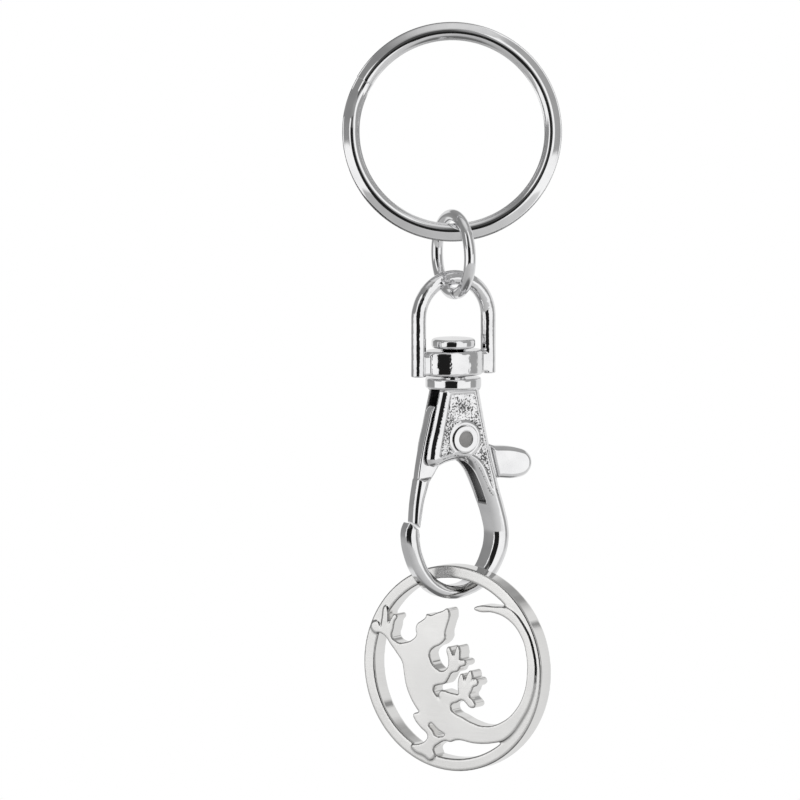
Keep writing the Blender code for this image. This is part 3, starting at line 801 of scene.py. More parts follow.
SWIVEL = joint_place("clasp_swivel")
LINK_FRONT = Vector(JOINTS["gate_swing"]["axis"]).normalized()
LINK_ACROSS = UP.cross(LINK_FRONT)
CLASP_FRAME = own_frame(SWIVEL, LINK_ACROSS)


# The pieces


@dataclass
class SplitRing:
    """Two flat turns of a ridged wire, one behind the other.

    Half of its section is in shares of half the band and half the thickness.
    """

    outer_diameter: float = 24.6 * MM
    band: float = 1.95 * MM
    thickness: float = 1.0 * MM
    turn_gap: float = 0.1 * MM
    lean: float = math.radians(11)
    end_angle: float = math.radians(150)
    jog: float = math.radians(24)
    end_clearance: float = math.radians(4)
    end_round: float = 0.12 * MM
    step: float = math.radians(1.5)

    SECTION_HALF: ClassVar[Outline] = [
        (-1.0, 0.0), (-0.93, 0.11), (-0.66, 0.626), (-0.42, 0.904), (-0.15, 1.0), (0.1, 0.92),
        (0.33, 0.7), (0.92, 0.05),
    ]

    def section(self, work: Work) -> list[Any]:
        """Draw the wire's section, which has a ridge with straight flanks on either face.

        Args:
            work: the bmesh to draw in.

        Returns:
            The section's face, edges and points.
        """
        shares = self.SECTION_HALF + [(-x, -y) for x, y in self.SECTION_HALF]
        outline = [(x * self.band / 2, y * self.thickness / 2) for x, y in shares]
        work.from_mesh(drawn("ring_section", outline, 4))
        bmesh.ops.contextual_create(work, geom=work.edges[:])
        return work.faces[:] + work.edges[:] + work.verts[:]

    def build(self) -> bpy.types.Object:
        """Sweep the section round both turns and through the jog between them.

        Returns:
            The ring.
        """
        work = bmesh.new()
        section = self.section(work)
        layer = (self.thickness + self.turn_gap) / 2
        mean = (self.outer_diameter - self.band) / 2
        start = (
            Matrix.Rotation(self.end_angle, 4, "Z") @ Matrix.Translation((mean, 0, layer))
            @ ACROSS_SWEEP
        )
        bmesh.ops.transform(work, matrix=start, verts=work.verts)
        turn = math.tau - self.end_clearance - self.jog
        level_turn = (turn, 0.0, round(turn / self.step))
        moves = [level_turn]
        jog_steps = round(self.jog / self.step)
        done = 0.0
        for i in range(jog_steps):
            share = (i + 1) / jog_steps
            eased = share * share * (3 - 2 * share)
            moves.append((self.jog / jog_steps, (done - eased) * 2 * layer, 1))
            done = eased
        moves.append(level_turn)
        for angle, rise, steps in moves:
            section = swept(work, section, angle, steps, rise, axis=(0, 0, -1))
        bmesh.ops.recalc_face_normals(work, faces=work.faces)
        ends = [face for face in work.faces if len(face.verts) > 4]
        bevel(work, [edge for face in ends for edge in face.edges], self.end_round, 3)
        down = Vector((0, -math.sin(self.lean), -math.cos(self.lean)))
        centre = down * (self.outer_diameter / 2 - self.band)
        return to_object("split_ring_wire", work, own_frame(centre, Vector((1, 0, 0)), -down))


@dataclass
class JumpRing:
    """One turn of round wire, cut at the bottom."""

    outer_diameter: float = 10.1 * MM
    wire: float = 1.33 * MM
    turn: float = math.radians(-66)
    cut_angle: float = math.radians(-77)
    cut_gap: float = 0.2 * MM
    cut_offset: float = 0.2 * MM
    end_round: float = 0.07 * MM
    wire_sides: int = 36
    steps: int = 180

    def build(self) -> bpy.types.Object:
        """Sweep the wire once round.

        Returns:
            The ring.
        """
        radius = (self.outer_diameter - self.wire) / 2
        gap = self.cut_gap / radius
        work = bmesh.new()
        bmesh.ops.create_circle(
            work, cap_ends=True, radius=self.wire / 2, segments=self.wire_sides
        )
        start = (
            Matrix.Rotation(self.cut_angle + gap / 2, 4, "Z")
            @ Matrix.Translation((radius, 0, -self.cut_offset / 2)) @ ACROSS_SWEEP
        )
        bmesh.ops.transform(work, matrix=start, verts=work.verts)
        section = work.faces[:] + work.edges[:] + work.verts[:]
        swept(work, section, math.tau - gap, self.steps, self.cut_offset)
        bmesh.ops.recalc_face_normals(work, faces=work.faces)
        soften(work, self.end_round)
        centre = joint_place("shackle_swing") + UP * radius
        across = Vector((math.cos(self.turn), math.sin(self.turn), 0))
        return to_object("jump_ring_wire", work, own_frame(centre, across))


@dataclass
class Swivel:
    """The cast shackle, a round arch on a flat base with an oval boss, and its rivet."""

    wire: float = 1.7 * MM
    width: float = 10.7 * MM
    arch_rise: float = 2.615 * MM
    height: float = 11.8 * MM
    base_height: float = 2.4 * MM
    base_lift: float = 0.1 * MM
    base_depth: float = 1.5 * MM
    base_round: float = 0.3 * MM
    boss_width: float = 7.0 * MM
    boss_depth: float = 5.3 * MM
    boss_height: float = 2.8 * MM
    boss_round: float = 0.3 * MM
    bore: float = 2.9 * MM
    grain: float = 0.075 * MM
    head_diameter: float = 4.9 * MM
    head_height: float = 1.05 * MM
    head_round: float = 0.32 * MM
    shank: float = 2.4 * MM
    collar_height: float = 1.2 * MM
    running_gap: float = 0.25 * MM
    foot_gap: float = 0.15 * MM
    wire_sides: int = 40
    arch_steps: int = 60
    skin_passes: int = 4

    def arch(self) -> Work:
        """Sweep the round wire up one leg, over and down the other.

        Returns:
            The arch in its own frame.
        """
        radius = (self.width - self.wire) / 2
        foot = self.arch_rise - self.height
        centre = self.arch_rise - self.wire / 2 - radius
        work = bmesh.new()
        bmesh.ops.create_circle(
            work, cap_ends=True, radius=self.wire / 2, segments=self.wire_sides
        )
        start = Matrix.Translation((radius, foot, 0)) @ ALONG_Y
        bmesh.ops.transform(work, matrix=start, verts=work.verts)
        geometry = work.faces[:]
        for turn in (False, True, False):
            if turn:
                section = geometry + geometry[0].edges[:] + geometry[0].verts[:]
                made = swept(work, section, math.pi, self.arch_steps, centre=centre)
            else:
                made = bmesh.ops.extrude_face_region(work, geom=geometry)["geom"]
            geometry = [part for part in made if isinstance(part, bmesh.types.BMFace)]
            if not turn:
                goal = centre if geometry[0].calc_center_median().x > 0 else foot
                rise = goal - geometry[0].calc_center_median().y
                bmesh.ops.translate(work, verts=geometry[0].verts[:], vec=(0, rise, 0))
        return work

    def build(self) -> bpy.types.Object:
        """Cast the shackle.

        Returns:
            The casting, in its place.
        """
        casting = Casting(to_object("shackle_casting", self.arch()))
        low = self.arch_rise - self.height
        block = bmesh.new()
        bmesh.ops.create_cube(block, size=1)
        size = (self.width - self.wire, self.base_height, self.base_depth)
        bmesh.ops.scale(block, vec=size, verts=block.verts)
        middle = low + self.base_lift + self.base_height / 2
        bmesh.ops.translate(block, vec=(0, middle, 0), verts=block.verts)
        soften(block, self.base_round, 4)
        casting.shape(to_object("base", block), Shaping.JOIN)
        upright = Matrix.Translation((0, low, 0)) @ ALONG_Y
        boss = rod(self.boss_width / 2, 0, self.boss_height, 96)
        bmesh.ops.scale(boss, vec=(1, self.boss_depth / self.boss_width, 1), verts=boss.verts)
        soften(boss, self.boss_round, 4)
        casting.shape(to_object("boss", boss), Shaping.JOIN, upright)
        bore = rod(self.bore / 2, -PAST, self.boss_height + PAST, 64)
        casting.shape(to_object("bore", bore), Shaping.CUT, upright)
        piece = casting.pour(self.grain, self.skin_passes)
        piece.data.transform(own_frame(joint_place("shackle_swing"), LINK_ACROSS))
        return piece

    def build_rivet(self) -> bpy.types.Object:
        """Turn the rivet that holds the clasp.

        Returns:
            The rivet, in its place.
        """
        under = self.collar_height + self.boss_height + 2 * self.running_gap
        top = under + self.head_height
        head, shank, foot = self.head_diameter / 2, self.shank / 2, self.foot_gap
        work = turned(
            [(0, top), (head, top), (head, under), (shank, under), (shank, foot), (0, foot)], 120
        )
        soften(work, self.head_round, 5)
        return to_object("swivel_rivet_head", work, Matrix.Translation(SWIVEL))


@dataclass
class Clasp:
    """Cast body with its hook, the gate lever and the pin that it turns on.

    Outlines are in shares of its half width, to the right, and of its height, downwards. A pebble
    bed is an oval, its middle and then its half axes in the same shares. A spring room is a box's
    left, right, low and high from the pivot, and its reach in from the lever's back.
    """

    height: float = 23.7 * MM
    half_width: float = 6.25 * MM
    depth: float = 3.7 * MM
    rim: float = 0.4 * MM
    crown: Crown = Crown(1.1 * MM)
    plate_facet: float = 0.165 * MM
    arm_crown: Crown = Crown(0.75 * MM)
    arm_facet: float = 0.1 * MM
    facet_low: float = 0.42
    facet_fade: float = 0.09
    hook_depth_share: float = 0.865
    tip_depth_share: float = 0.55
    thinning_run: float = 0.25
    tip_run_less: float = 0.12
    collar_diameter: float = 6.25 * MM
    collar_height: float = 1.2 * MM
    collar_round: float = 0.2 * MM
    rivet_bore: float = 2.7 * MM
    slot_width: float = 1.9 * MM
    panel_recess: float = 0.12 * MM
    pebbled_reach: tuple[float, float] = (0.01, 0.52)
    floor_lean: float = 0.9
    least_pebbles: float = 0.15
    slot_margin: float = 0.01
    web_margin: float = 0.12
    land_diameter: float = 4.0 * MM
    lever_thickness: float = 1.3 * MM
    lever_rim: float = 0.23 * MM
    arm_thickness: float = 1.95 * MM
    arm_rim: float = 0.3 * MM
    tab_thickness: float = 2.0 * MM
    tab_rim: float = 0.5 * MM
    gate_inset: float = 0.42 * MM
    touch_gap: float = 0.25 * MM
    spring_pocket: float = 3.26 * MM
    pocket_depth: float = 1.05 * MM
    pin_diameter: float = 1.9 * MM
    pin_round: float = 0.05 * MM
    dish_share: float = 0.93
    groove_margin: float = 0.01
    pin_head: float = 3.04 * MM
    pin_groove: float = 0.09 * MM
    pin_lip: float = 3.27 * MM
    pin_lip_height: float = 0.04 * MM
    pin_head_height: float = 0.22 * MM
    pin_seat: float = 0.03 * MM
    pin_dish: float = 1.82 * MM
    pin_dish_depth: float = 0.22 * MM
    grain: float = 0.085 * MM
    skin_passes: int = 5
    lever_grain_share: float = 0.7
    lever_skin_passes: int = 8

    SPINE: ClassVar[Outline] = [
        (0.41, 0.0, SHARP), (0.53, 0.16), (0.665, 0.32), (0.8, 0.465), (0.95, 0.585),
        (1.025, 0.66), (1.045, 0.73), (0.93, 0.835), (0.645, 0.934), (0.26, 0.986), (-0.11, 1.0),
        (-0.49, 0.968), (-0.79, 0.888), (-0.975, 0.788), (-1.04, 0.706), (-1.03, 0.66),
    ]
    PAST_TIP: ClassVar[Outline] = [(-0.97, 0.625), (-0.9, 0.565), (-0.73, 0.605), (-0.765, 0.665)]
    TIP_OUTER: ClassVar[tuple[Any, ...]] = (-0.97, 0.625, SHARP)
    TIP_INNER: ClassVar[tuple[Any, ...]] = (-0.765, 0.665, SHARP)
    EYE: ClassVar[Outline] = [
        (-0.75, 0.722), (-0.675, 0.797), (-0.53, 0.87), (-0.3, 0.921), (-0.02, 0.94),
        (0.25, 0.927), (0.49, 0.876), (0.66, 0.8), (0.735, 0.717), (0.685, 0.629), (0.565, 0.533),
        (0.43, 0.446), (0.285, 0.383), (0.135, 0.35), (-0.02, 0.339), (-0.256, 0.346),
        (-0.46, 0.363), (-0.575, 0.361), (-0.643, 0.337), (-0.642, 0.302), (-0.52, 0.16),
        (-0.376, 0.0, SHARP),
    ]
    NECK: ClassVar[Outline] = [
        (-0.34, 0.03, SHARP), (0.34, 0.03, SHARP), (0.34, -0.01, SHARP), (-0.34, -0.01, SHARP),
    ]
    SLOT: ClassVar[Outline] = [
        (-1.4, 0.0, SHARP), (0.19, 0.0, SHARP), (0.29, 0.142, SHARP), (1.4, 0.142, SHARP),
        (1.4, 0.552, SHARP), (-1.4, 0.552, SHARP),
    ]
    PANEL: ClassVar[Outline] = [
        (-0.22, 0.018, SHARP), (0.28, 0.018, SHARP), (0.54, 0.32), (0.66, 0.455),
        (0.7, 0.505, SHARP), (0.6, 0.45), (0.44, 0.362), (0.22, 0.318), (-0.02, 0.304),
        (-0.25, 0.308), (-0.45, 0.318, SHARP),
    ]
    PEBBLE_BEDS: ClassVar[Sequence[tuple[float, ...]]] = [
        (-0.33, 0.19, 0.32, 0.2), (0.0, 0.085, 0.34, 0.055), (0.5, 0.33, 0.2, 0.2),
        (0.34, 0.2, 0.12, 0.1),
    ]
    LEVER: ClassVar[Outline] = [
        (-0.575, 0.155), (-0.51, 0.1), (-0.44, 0.08), (-0.35, 0.083), (-0.2, 0.113),
        (-0.05, 0.143), (0.08, 0.137), (0.26, 0.154), (0.385, 0.197), (0.52, 0.25),
        (0.84, 0.29), (1.3, 0.335, SHARP), (1.3, 0.415, SHARP), (0.84, 0.435),
        (0.63, 0.42), (0.46, 0.365), (0.3, 0.33), (0.08, 0.32), (-0.13, 0.325), (-0.31, 0.357),
        (-0.45, 0.407), (-0.6, 0.465), (-0.69, 0.53, SHARP), (-0.82, 0.53, SHARP), (-0.77, 0.39),
    ]
    ARM_INNER: ClassVar[Outline] = [(-0.52, 0.418, SHARP), (-0.575, 0.465), (-0.655, 0.535)]
    ARM_OUTER: ClassVar[Outline] = [(-0.865, 0.535), (-0.795, 0.425, SHARP)]
    TAB: ClassVar[Outline] = [
        (0.7, 0.285, SHARP), (1.31, 0.305), (1.49, 0.329), (1.57, 0.376), (1.49, 0.423),
        (1.31, 0.444), (0.85, 0.44, SHARP),
    ]
    SPRING_ROOM: ClassVar[Sequence[tuple[float, ...]]] = [
        (-2.95 * MM, 0.0, -1.63 * MM, 0.3 * MM, 1.0 * MM),
        (0.8 * MM, 2.8 * MM, 0.0, 2.6 * MM, 0.5 * MM),
    ]

    def outline(self, shares: Outline) -> list[tuple[Any, ...]]:
        """Turn shares of the clasp's half width and height into metres."""
        return [(p[0] * self.half_width, -p[1] * self.height, *p[2:]) for p in shares]

    def pivot(self) -> Vector:
        """The gate's pivot in the clasp's own frame."""
        return CLASP_FRAME.inverted() @ joint_place("gate_swing")

    def half_depth(self, spot: Vector) -> float:
        """Half the body's depth, which thins below the slot and most towards the hook's tip.

        Args:
            spot: a place in the body's own frame.

        Returns:
            The half depth, or no limit within the collar.
        """
        if spot.y > -self.collar_round:
            return self.collar_diameter
        eye_bottom = max(share[1] for share in self.EYE) * self.height
        across = (self.half_width - spot.x) / (2 * self.half_width)
        across = min(max(across, 0), 1)
        run = eye_bottom * (self.thinning_run - self.tip_run_less * across)
        down = min(max((-spot.y - eye_bottom / 2) / run, 0), 1)
        tip_less = self.hook_depth_share - self.tip_depth_share
        thinning = 1 - self.hook_depth_share + tip_less * across
        return self.depth / 2 * (1 - thinning * down)

    def facet(self, spot: Vector) -> float:
        """Width of the facet at the body's rim: the side plates have one and the hook hasn't."""
        share = (self.facet_low + spot.y / self.height) / self.facet_fade
        return self.plate_facet * min(max(share, 0), 1)

    def arm_half_depth(self, spot: Vector) -> float:
        """Half the depth of the gate arm's thicker end, and no limit elsewhere."""
        top = -min(share[1] for share in self.ARM_INNER) * self.height
        return self.arm_thickness / 2 if spot.y < top and spot.x < 0 else self.depth

    def shares(self, vertex: bpy.types.MeshVertex) -> tuple[float, float]:
        """Where a point is across and down the clasp, in shares of its half width and height."""
        return vertex.co.x / self.half_width, -vertex.co.y / self.height

    def build_body(self) -> bpy.types.Object:
        """Cast the body.

        Returns:
            The casting, in its place, with its pebbled ground and its slot marked.
        """
        outline = self.outline([*self.SPINE, self.TIP_OUTER, self.TIP_INNER, *self.EYE])
        blank = cut_plate("clasp_casting", outline, self.depth, self.rim)
        for vertex in blank.data.vertices:
            if vertex.co.y < -self.collar_round:
                vertex.co.z *= 2 * self.half_depth(vertex.co) / self.depth
        casting = Casting(blank)
        neck = cut_plate("neck", self.outline(self.NECK), self.depth - 2 * self.rim)
        casting.shape(neck, Shaping.JOIN)
        collar = rod(self.collar_diameter / 2, 0, self.collar_height, 96)
        soften(collar, self.collar_round, 4)
        casting.shape(to_object("collar", collar), Shaping.JOIN, ALONG_Y)
        slot = cut_plate("slot", self.outline(self.SLOT), self.slot_width)
        casting.shape(slot, Shaping.CUT)
        bore = rod(self.rivet_bore / 2, -PAST, self.collar_height + PAST)
        casting.shape(to_object("bore", bore), Shaping.CUT, ALONG_Y)
        at_pivot = Matrix.Translation(self.pivot())
        for side in (1, -1):
            panel = Casting(cut_plate("panel", self.outline(self.PANEL), 2 * self.panel_recess))
            land = to_object("land", rod(self.land_diameter / 2, -PAST, PAST))
            panel.shape(land, Shaping.CUT, at_pivot)
            face = Matrix.Translation((0, 0, side * self.depth / 2))
            casting.shape(panel.settle(), Shaping.CUT, face)
        pin_bore = rod(self.pin_diameter / 2, -2 * self.depth, 2 * self.depth)
        casting.shape(to_object("pin_bore", pin_bore), Shaping.CUT, at_pivot)
        piece = casting.pour(self.grain, self.skin_passes)
        crowned = self.outline([*self.SPINE, *self.PAST_TIP, *self.EYE])
        self.crown.press(piece.data, crowned, self.half_depth, self.facet)
        set_mark(piece.data, "pebbled", self.pebbled)
        # The slot's walls get painted shade and more roughness in their finish.
        set_mark(piece.data, "inside", self.inside)
        piece.data.transform(CLASP_FRAME)
        return piece

    def pebbled(self, vertex: bpy.types.MeshVertex) -> float:
        """How thickly the body is pebbled, which is only on the floors of the panels.

        Args:
            vertex: a point of the body.

        Returns:
            The share.
        """
        x, y = self.shares(vertex)
        floor = self.depth / 2 - self.panel_recess
        on_floor = abs(abs(vertex.co.z) - floor) <= self.panel_recess / 3
        level = abs(vertex.normal.z) > self.floor_lean
        if not (on_floor and level and self.pebbled_reach[0] < y < self.pebbled_reach[1]):
            return 0.0
        beds = [
            1 - ((x - bed[0]) / bed[2]) ** 2 - ((y - bed[1]) / bed[3]) ** 2
            for bed in self.PEBBLE_BEDS
        ]
        return max(self.least_pebbles, *beds)

    def inside(self, vertex: bpy.types.MeshVertex) -> float:
        """Whether a point is on a wall of the gate's slot, and not on the outside of its web.

        Args:
            vertex: a point of the body.

        Returns:
            1 or 0.
        """
        x, y = self.shares(vertex)
        low = max(share[1] for share in self.SLOT) + self.slot_margin
        web_side, web_low = self.SLOT[1][0] + self.web_margin, self.SLOT[2][1]
        between_plates = abs(vertex.co.z) < self.slot_width * (0.5 + self.slot_margin)
        return float(between_plates and 0 < y < low and not (x > web_side and y < web_low))

    def arm_outlines(self) -> tuple[Outline, Outline]:
        """Outline the gate arm's thicker end, which is cut square to the hook's tip.

        Returns:
            The end's outline, and the outline of its crown, which runs on past the cut.
        """
        outer = Vector(self.outline([self.TIP_OUTER])[0][:2])
        inner = Vector(self.outline([self.TIP_INNER])[0][:2])
        along = (inner - outer).normalized()
        away = Vector((-along.y, along.x)) * self.touch_gap
        corners = [inner + away, outer + along * self.gate_inset + away]
        drop = Vector((0, -PAST))
        run_on = [corners[0], corners[0] + drop, corners[1] + drop, corners[1]]
        inward, outward = self.outline(self.ARM_INNER), self.outline(self.ARM_OUTER)
        arm = [*inward, *((*corner, SHARP) for corner in corners), *outward]
        return arm, [*inward, *(tuple(corner) for corner in run_on), *outward]

    def build_lever(self) -> bpy.types.Object:
        """Cast the gate arm and thumb tab, hollowed behind for the spring.

        Returns:
            The casting, in its place.
        """
        arm, crowned = self.arm_outlines()
        lever = self.outline(self.LEVER)
        casting = Casting(cut_plate("gate_casting", lever, self.lever_thickness, self.lever_rim))
        casting.shape(cut_plate("arm_end", arm, self.arm_thickness, self.arm_rim), Shaping.JOIN)
        tab = cut_plate("tab", self.outline(self.TAB), self.tab_thickness, self.tab_rim)
        casting.shape(tab, Shaping.JOIN)
        at_pivot = Matrix.Translation(self.pivot())
        bore = rod(self.pin_diameter / 2 + self.touch_gap, -self.depth, self.depth)
        casting.shape(to_object("pin_bore", bore), Shaping.CUT, at_pivot)
        back = -self.lever_thickness / 2
        pocket = rod(self.spring_pocket / 2, back - PAST, back + self.pocket_depth)
        casting.shape(to_object("pocket", pocket), Shaping.CUT, at_pivot)
        at_back = at_pivot @ Matrix.Translation((0, 0, back))
        for left, right, low, high, depth in self.SPRING_ROOM:
            corners = [(left, low), (right, low), (right, high), (left, high)]
            room = cut_plate("room", [(*corner, SHARP) for corner in corners], 2 * depth)
            casting.shape(room, Shaping.CUT, at_back)
        piece = casting.pour(self.grain * self.lever_grain_share, self.lever_skin_passes)
        self.arm_crown.press(piece.data, crowned, self.arm_half_depth, lambda spot: self.arm_facet)
        piece.data.transform(CLASP_FRAME)
        return piece

    def build_pin(self) -> bpy.types.Object:
        """Turn the pivot pin with its dished heads, each in a groove inside a lip, black with painted shade.

        Returns:
            The pin, in its place, its second material in the dishes and its third, painted shade, in the grooves.
        """
        under = self.depth / 2 - self.pin_head_height
        seat = self.depth / 2 + self.pin_seat
        top, lip = seat + self.pin_head_height, seat + self.pin_lip_height
        floor = top - self.pin_dish_depth
        head, shank, dish = self.pin_head / 2, self.pin_diameter / 2, self.pin_dish / 2
        groove, rim = head + self.pin_groove, self.pin_lip / 2
        upper = [
            (0, floor), (dish, floor), (dish, top), (head, top), (head, seat - self.pin_groove),
            (groove, seat - self.pin_groove), (groove, lip), (rim, lip), (rim, under), (shank, under),
        ]
        work = turned(upper + [(radius, -height) for radius, height in reversed(upper)], 96)
        soften(work, self.pin_round, 3)
        for face in work.faces:
            middle = face.calc_center_median()
            away, on_head = math.hypot(middle.x, middle.y), abs(middle.z) > under
            in_groove = head * (1 - self.groove_margin) < away < groove * (1 + self.groove_margin)
            if on_head and away < dish * self.dish_share:
                face.material_index = 1
            # The grooves take the near-black painted-shade material.
            if on_head and in_groove:
                face.material_index = 2
        place = CLASP_FRAME @ Matrix.Translation(self.pivot())
        return to_object("pivot_pin_heads", work, place)


@dataclass
class TrolleyCoin:
    """The coin's rim with the gecko cast into it. Outlines are in shares of its radius."""

    diameter: float = 23.25 * MM
    band: float = 1.42 * MM
    thickness: float = 2.3 * MM
    rim_round: float = 0.16 * MM
    figure_front: float = 1.3 * MM
    figure_back: float = 0.85 * MM
    figure_round: float = 0.12 * MM
    grain: float = 0.106 * MM
    skin_passes: int = 2
    outline_steps: int = 6
    face_lean: float = 0.9
    face_gain: float = 20
    edge_lean: float = 0.62
    edge_gain: float = 7
    edge_peak: float = 2

    HEAD: ClassVar[Outline] = [
        (-0.05, 0.583), (-0.02, 0.525), (-0.05, 0.41), (-0.07, 0.34), (-0.07, 0.29),
        (-0.125, 0.225), (-0.205, 0.185), (-0.245, 0.135), (-0.23, 0.06), (-0.19, 0.005),
        (-0.125, -0.03), (-0.065, -0.01),
    ]
    RIGHT_HAND: ClassVar[Outline] = [
        (-0.04, 0.04), (-0.045, 0.11), (-0.06, 0.18), (-0.035, 0.213), (-0.005, 0.183),
        (0.023, 0.115, SHARP), (0.043, 0.187), (0.07, 0.23), (0.097, 0.187), (0.095, 0.083, SHARP),
        (0.125, 0.1), (0.163, 0.072), (0.143, 0.034), (0.098, 0.02), (0.068, -0.024),
        (0.0, -0.047), (-0.034, -0.1), (-0.082, -0.155), (-0.144, -0.17), (-0.2, -0.198),
    ]
    RIGHT_FOOT: ClassVar[Outline] = [
        (-0.136, -0.31, SHARP), (-0.148, -0.264), (-0.122, -0.222), (-0.032, -0.232),
        (0.075, -0.247, SHARP), (0.068, -0.145), (0.083, -0.072), (0.115, -0.04),
        (0.148, -0.115, SHARP), (0.175, -0.043), (0.21, -0.004), (0.24, -0.048),
        (0.23, -0.11, SHARP), (0.264, -0.075), (0.302, -0.115), (0.284, -0.15), (0.248, -0.163),
        (0.23, -0.206), (0.205, -0.25), (0.25, -0.298), (0.27, -0.339), (0.242, -0.369),
        (0.2, -0.365), (0.16, -0.331), (0.12, -0.303), (0.047, -0.332),
    ]
    TAIL: ClassVar[Outline] = [
        (0.0, -0.35), (0.0, -0.4), (0.03, -0.43), (0.104, -0.46), (0.205, -0.503), (0.38, -0.533),
        (0.57, -0.475), (0.723, -0.342), (0.81, -0.18), (0.844, 0.0), (0.836, 0.187),
        (0.775, 0.365), (0.638, 0.511), (0.464, 0.572), (0.29, 0.575), (0.25, 0.6), (0.29, 0.627),
        (0.464, 0.636), (0.633, 0.627), (0.825, 0.45), (0.926, 0.202),
        (0.943, 0.0), (0.904, -0.221), (0.791, -0.442), (0.6, -0.65), (0.464, -0.695),
        (0.258, -0.713), (0.05, -0.695),
    ]
    LEFT_FOOT: ClassVar[Outline] = [
        (-0.023, -0.72), (-0.064, -0.711), (-0.15, -0.747), (-0.2, -0.793), (-0.187, -0.855),
        (-0.24, -0.908), (-0.312, -0.872), (-0.43, -0.825), (-0.453, -0.784), (-0.366, -0.757),
        (-0.296, -0.72), (-0.276, -0.678), (-0.357, -0.598), (-0.419, -0.528), (-0.435, -0.475),
        (-0.371, -0.45, SHARP),
    ]
    LEFT_SIDE: ClassVar[Outline] = [
        (-0.433, -0.372), (-0.483, -0.286), (-0.521, -0.187), (-0.543, -0.072), (-0.561, 0.02),
        (-0.623, 0.106), (-0.696, 0.192), (-0.758, 0.265),
    ]
    LEFT_HAND: ClassVar[Outline] = [
        (-0.815, 0.29), (-0.871, 0.292), (-0.912, 0.35), (-0.888, 0.396), (-0.841, 0.403),
        (-0.802, 0.354, SHARP), (-0.78, 0.471), (-0.771, 0.534), (-0.746, 0.561), (-0.723, 0.532),
        (-0.715, 0.387, SHARP), (-0.678, 0.456), (-0.645, 0.49), (-0.615, 0.465), (-0.645, 0.411),
        (-0.658, 0.346), (-0.676, 0.27), (-0.612, 0.215), (-0.527, 0.221), (-0.446, 0.254),
    ]
    CHEEK: ClassVar[Outline] = [
        (-0.4, 0.305), (-0.408, 0.35), (-0.393, 0.407), (-0.341, 0.446), (-0.297, 0.48),
        (-0.284, 0.513), (-0.246, 0.505), (-0.167, 0.534), (-0.095, 0.56),
    ]
    KNEE_HOLE: ClassVar[Outline] = [
        (-0.25, -0.555), (-0.153, -0.608), (-0.058, -0.657, SHARP), (-0.18, -0.668),
        (-0.206, -0.628),
    ]

    def outline(self, shares: Outline) -> list[tuple[Any, ...]]:
        """Turn shares of the coin's radius into metres."""
        radius = self.diameter / 2
        return [(p[0] * radius, p[1] * radius, *p[2:]) for p in shares]

    def place(self) -> Matrix:
        """Stand the coin on the CAD coin's middle.

        Returns:
            The coin's own frame.
        """
        back = next(m for m in frame["record"]["mounts"] if m["name"] == "coin_back")
        front = -Vector(back["axis"]).normalized()
        low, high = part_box("trolley_coin")
        return own_frame((low + high) / 2, UP.cross(front))

    def build(self) -> bpy.types.Object:
        """Cast the coin.

        Returns:
            The coin, in its place.
        """
        outer, inner, half = self.diameter / 2, self.diameter / 2 - self.band, self.thickness / 2
        rim = turned([(outer, half), (outer, -half), (inner, -half), (inner, half)], 256)
        soften(rim, self.rim_round, 3)
        casting = Casting(to_object("coin_casting", rim))
        depth = self.figure_front + self.figure_back
        shares = [
            *self.HEAD, *self.RIGHT_HAND, *self.RIGHT_FOOT, *self.TAIL, *self.LEFT_FOOT,
            *self.LEFT_SIDE, *self.LEFT_HAND, *self.CHEEK,
        ]
        steps = self.outline_steps
        figure = cut_plate("figure", self.outline(shares), depth, self.figure_round, steps)
        middle = Matrix.Translation((0, 0, (self.figure_front - self.figure_back) / 2))
        casting.shape(figure, Shaping.JOIN, middle)
        hole = cut_plate("knee_hole", self.outline(self.KNEE_HOLE), 2 * depth, 0, steps)
        casting.shape(hole, Shaping.CUT)
        piece = casting.pour(self.grain, self.skin_passes)
        set_mark(piece.data, "face", self.face_share)
        # The "edge" mark carries the painted dark reflection on the rounded edges.
        set_mark(piece.data, "edge", self.edge_share)
        piece.data.transform(self.place())
        return piece

    def face_share(self, vertex: bpy.types.MeshVertex) -> float:
        """Share of the flat faces' satin at a point."""
        return min(max((abs(vertex.normal.z) - self.face_lean) * self.face_gain, 0), 1)

    def edge_share(self, vertex: bpy.types.MeshVertex) -> float:
        """Share of the painted dark reflection on the rounded edges at a point."""
        away = abs(abs(vertex.normal.z) - self.edge_lean)
        return min(max(self.edge_peak - away * self.edge_gain, 0), 1)


# The studio


@dataclass(frozen=True)
class Patch:
    """A part of the tent of one grey, in degrees as seen from the keyring.

    Azimuths run from the camera to its right, elevations up from the horizon.
    """

    azimuth: float
    half_width: float
    elevation: float
    half_height: float
    grey: float
    soft: float = 3


@dataclass(frozen=True)
class Lamp:
    """A square soft lamp, in degrees as seen from the keyring."""

    name: str
    azimuth: float
    elevation: float
    size: float
    level: float


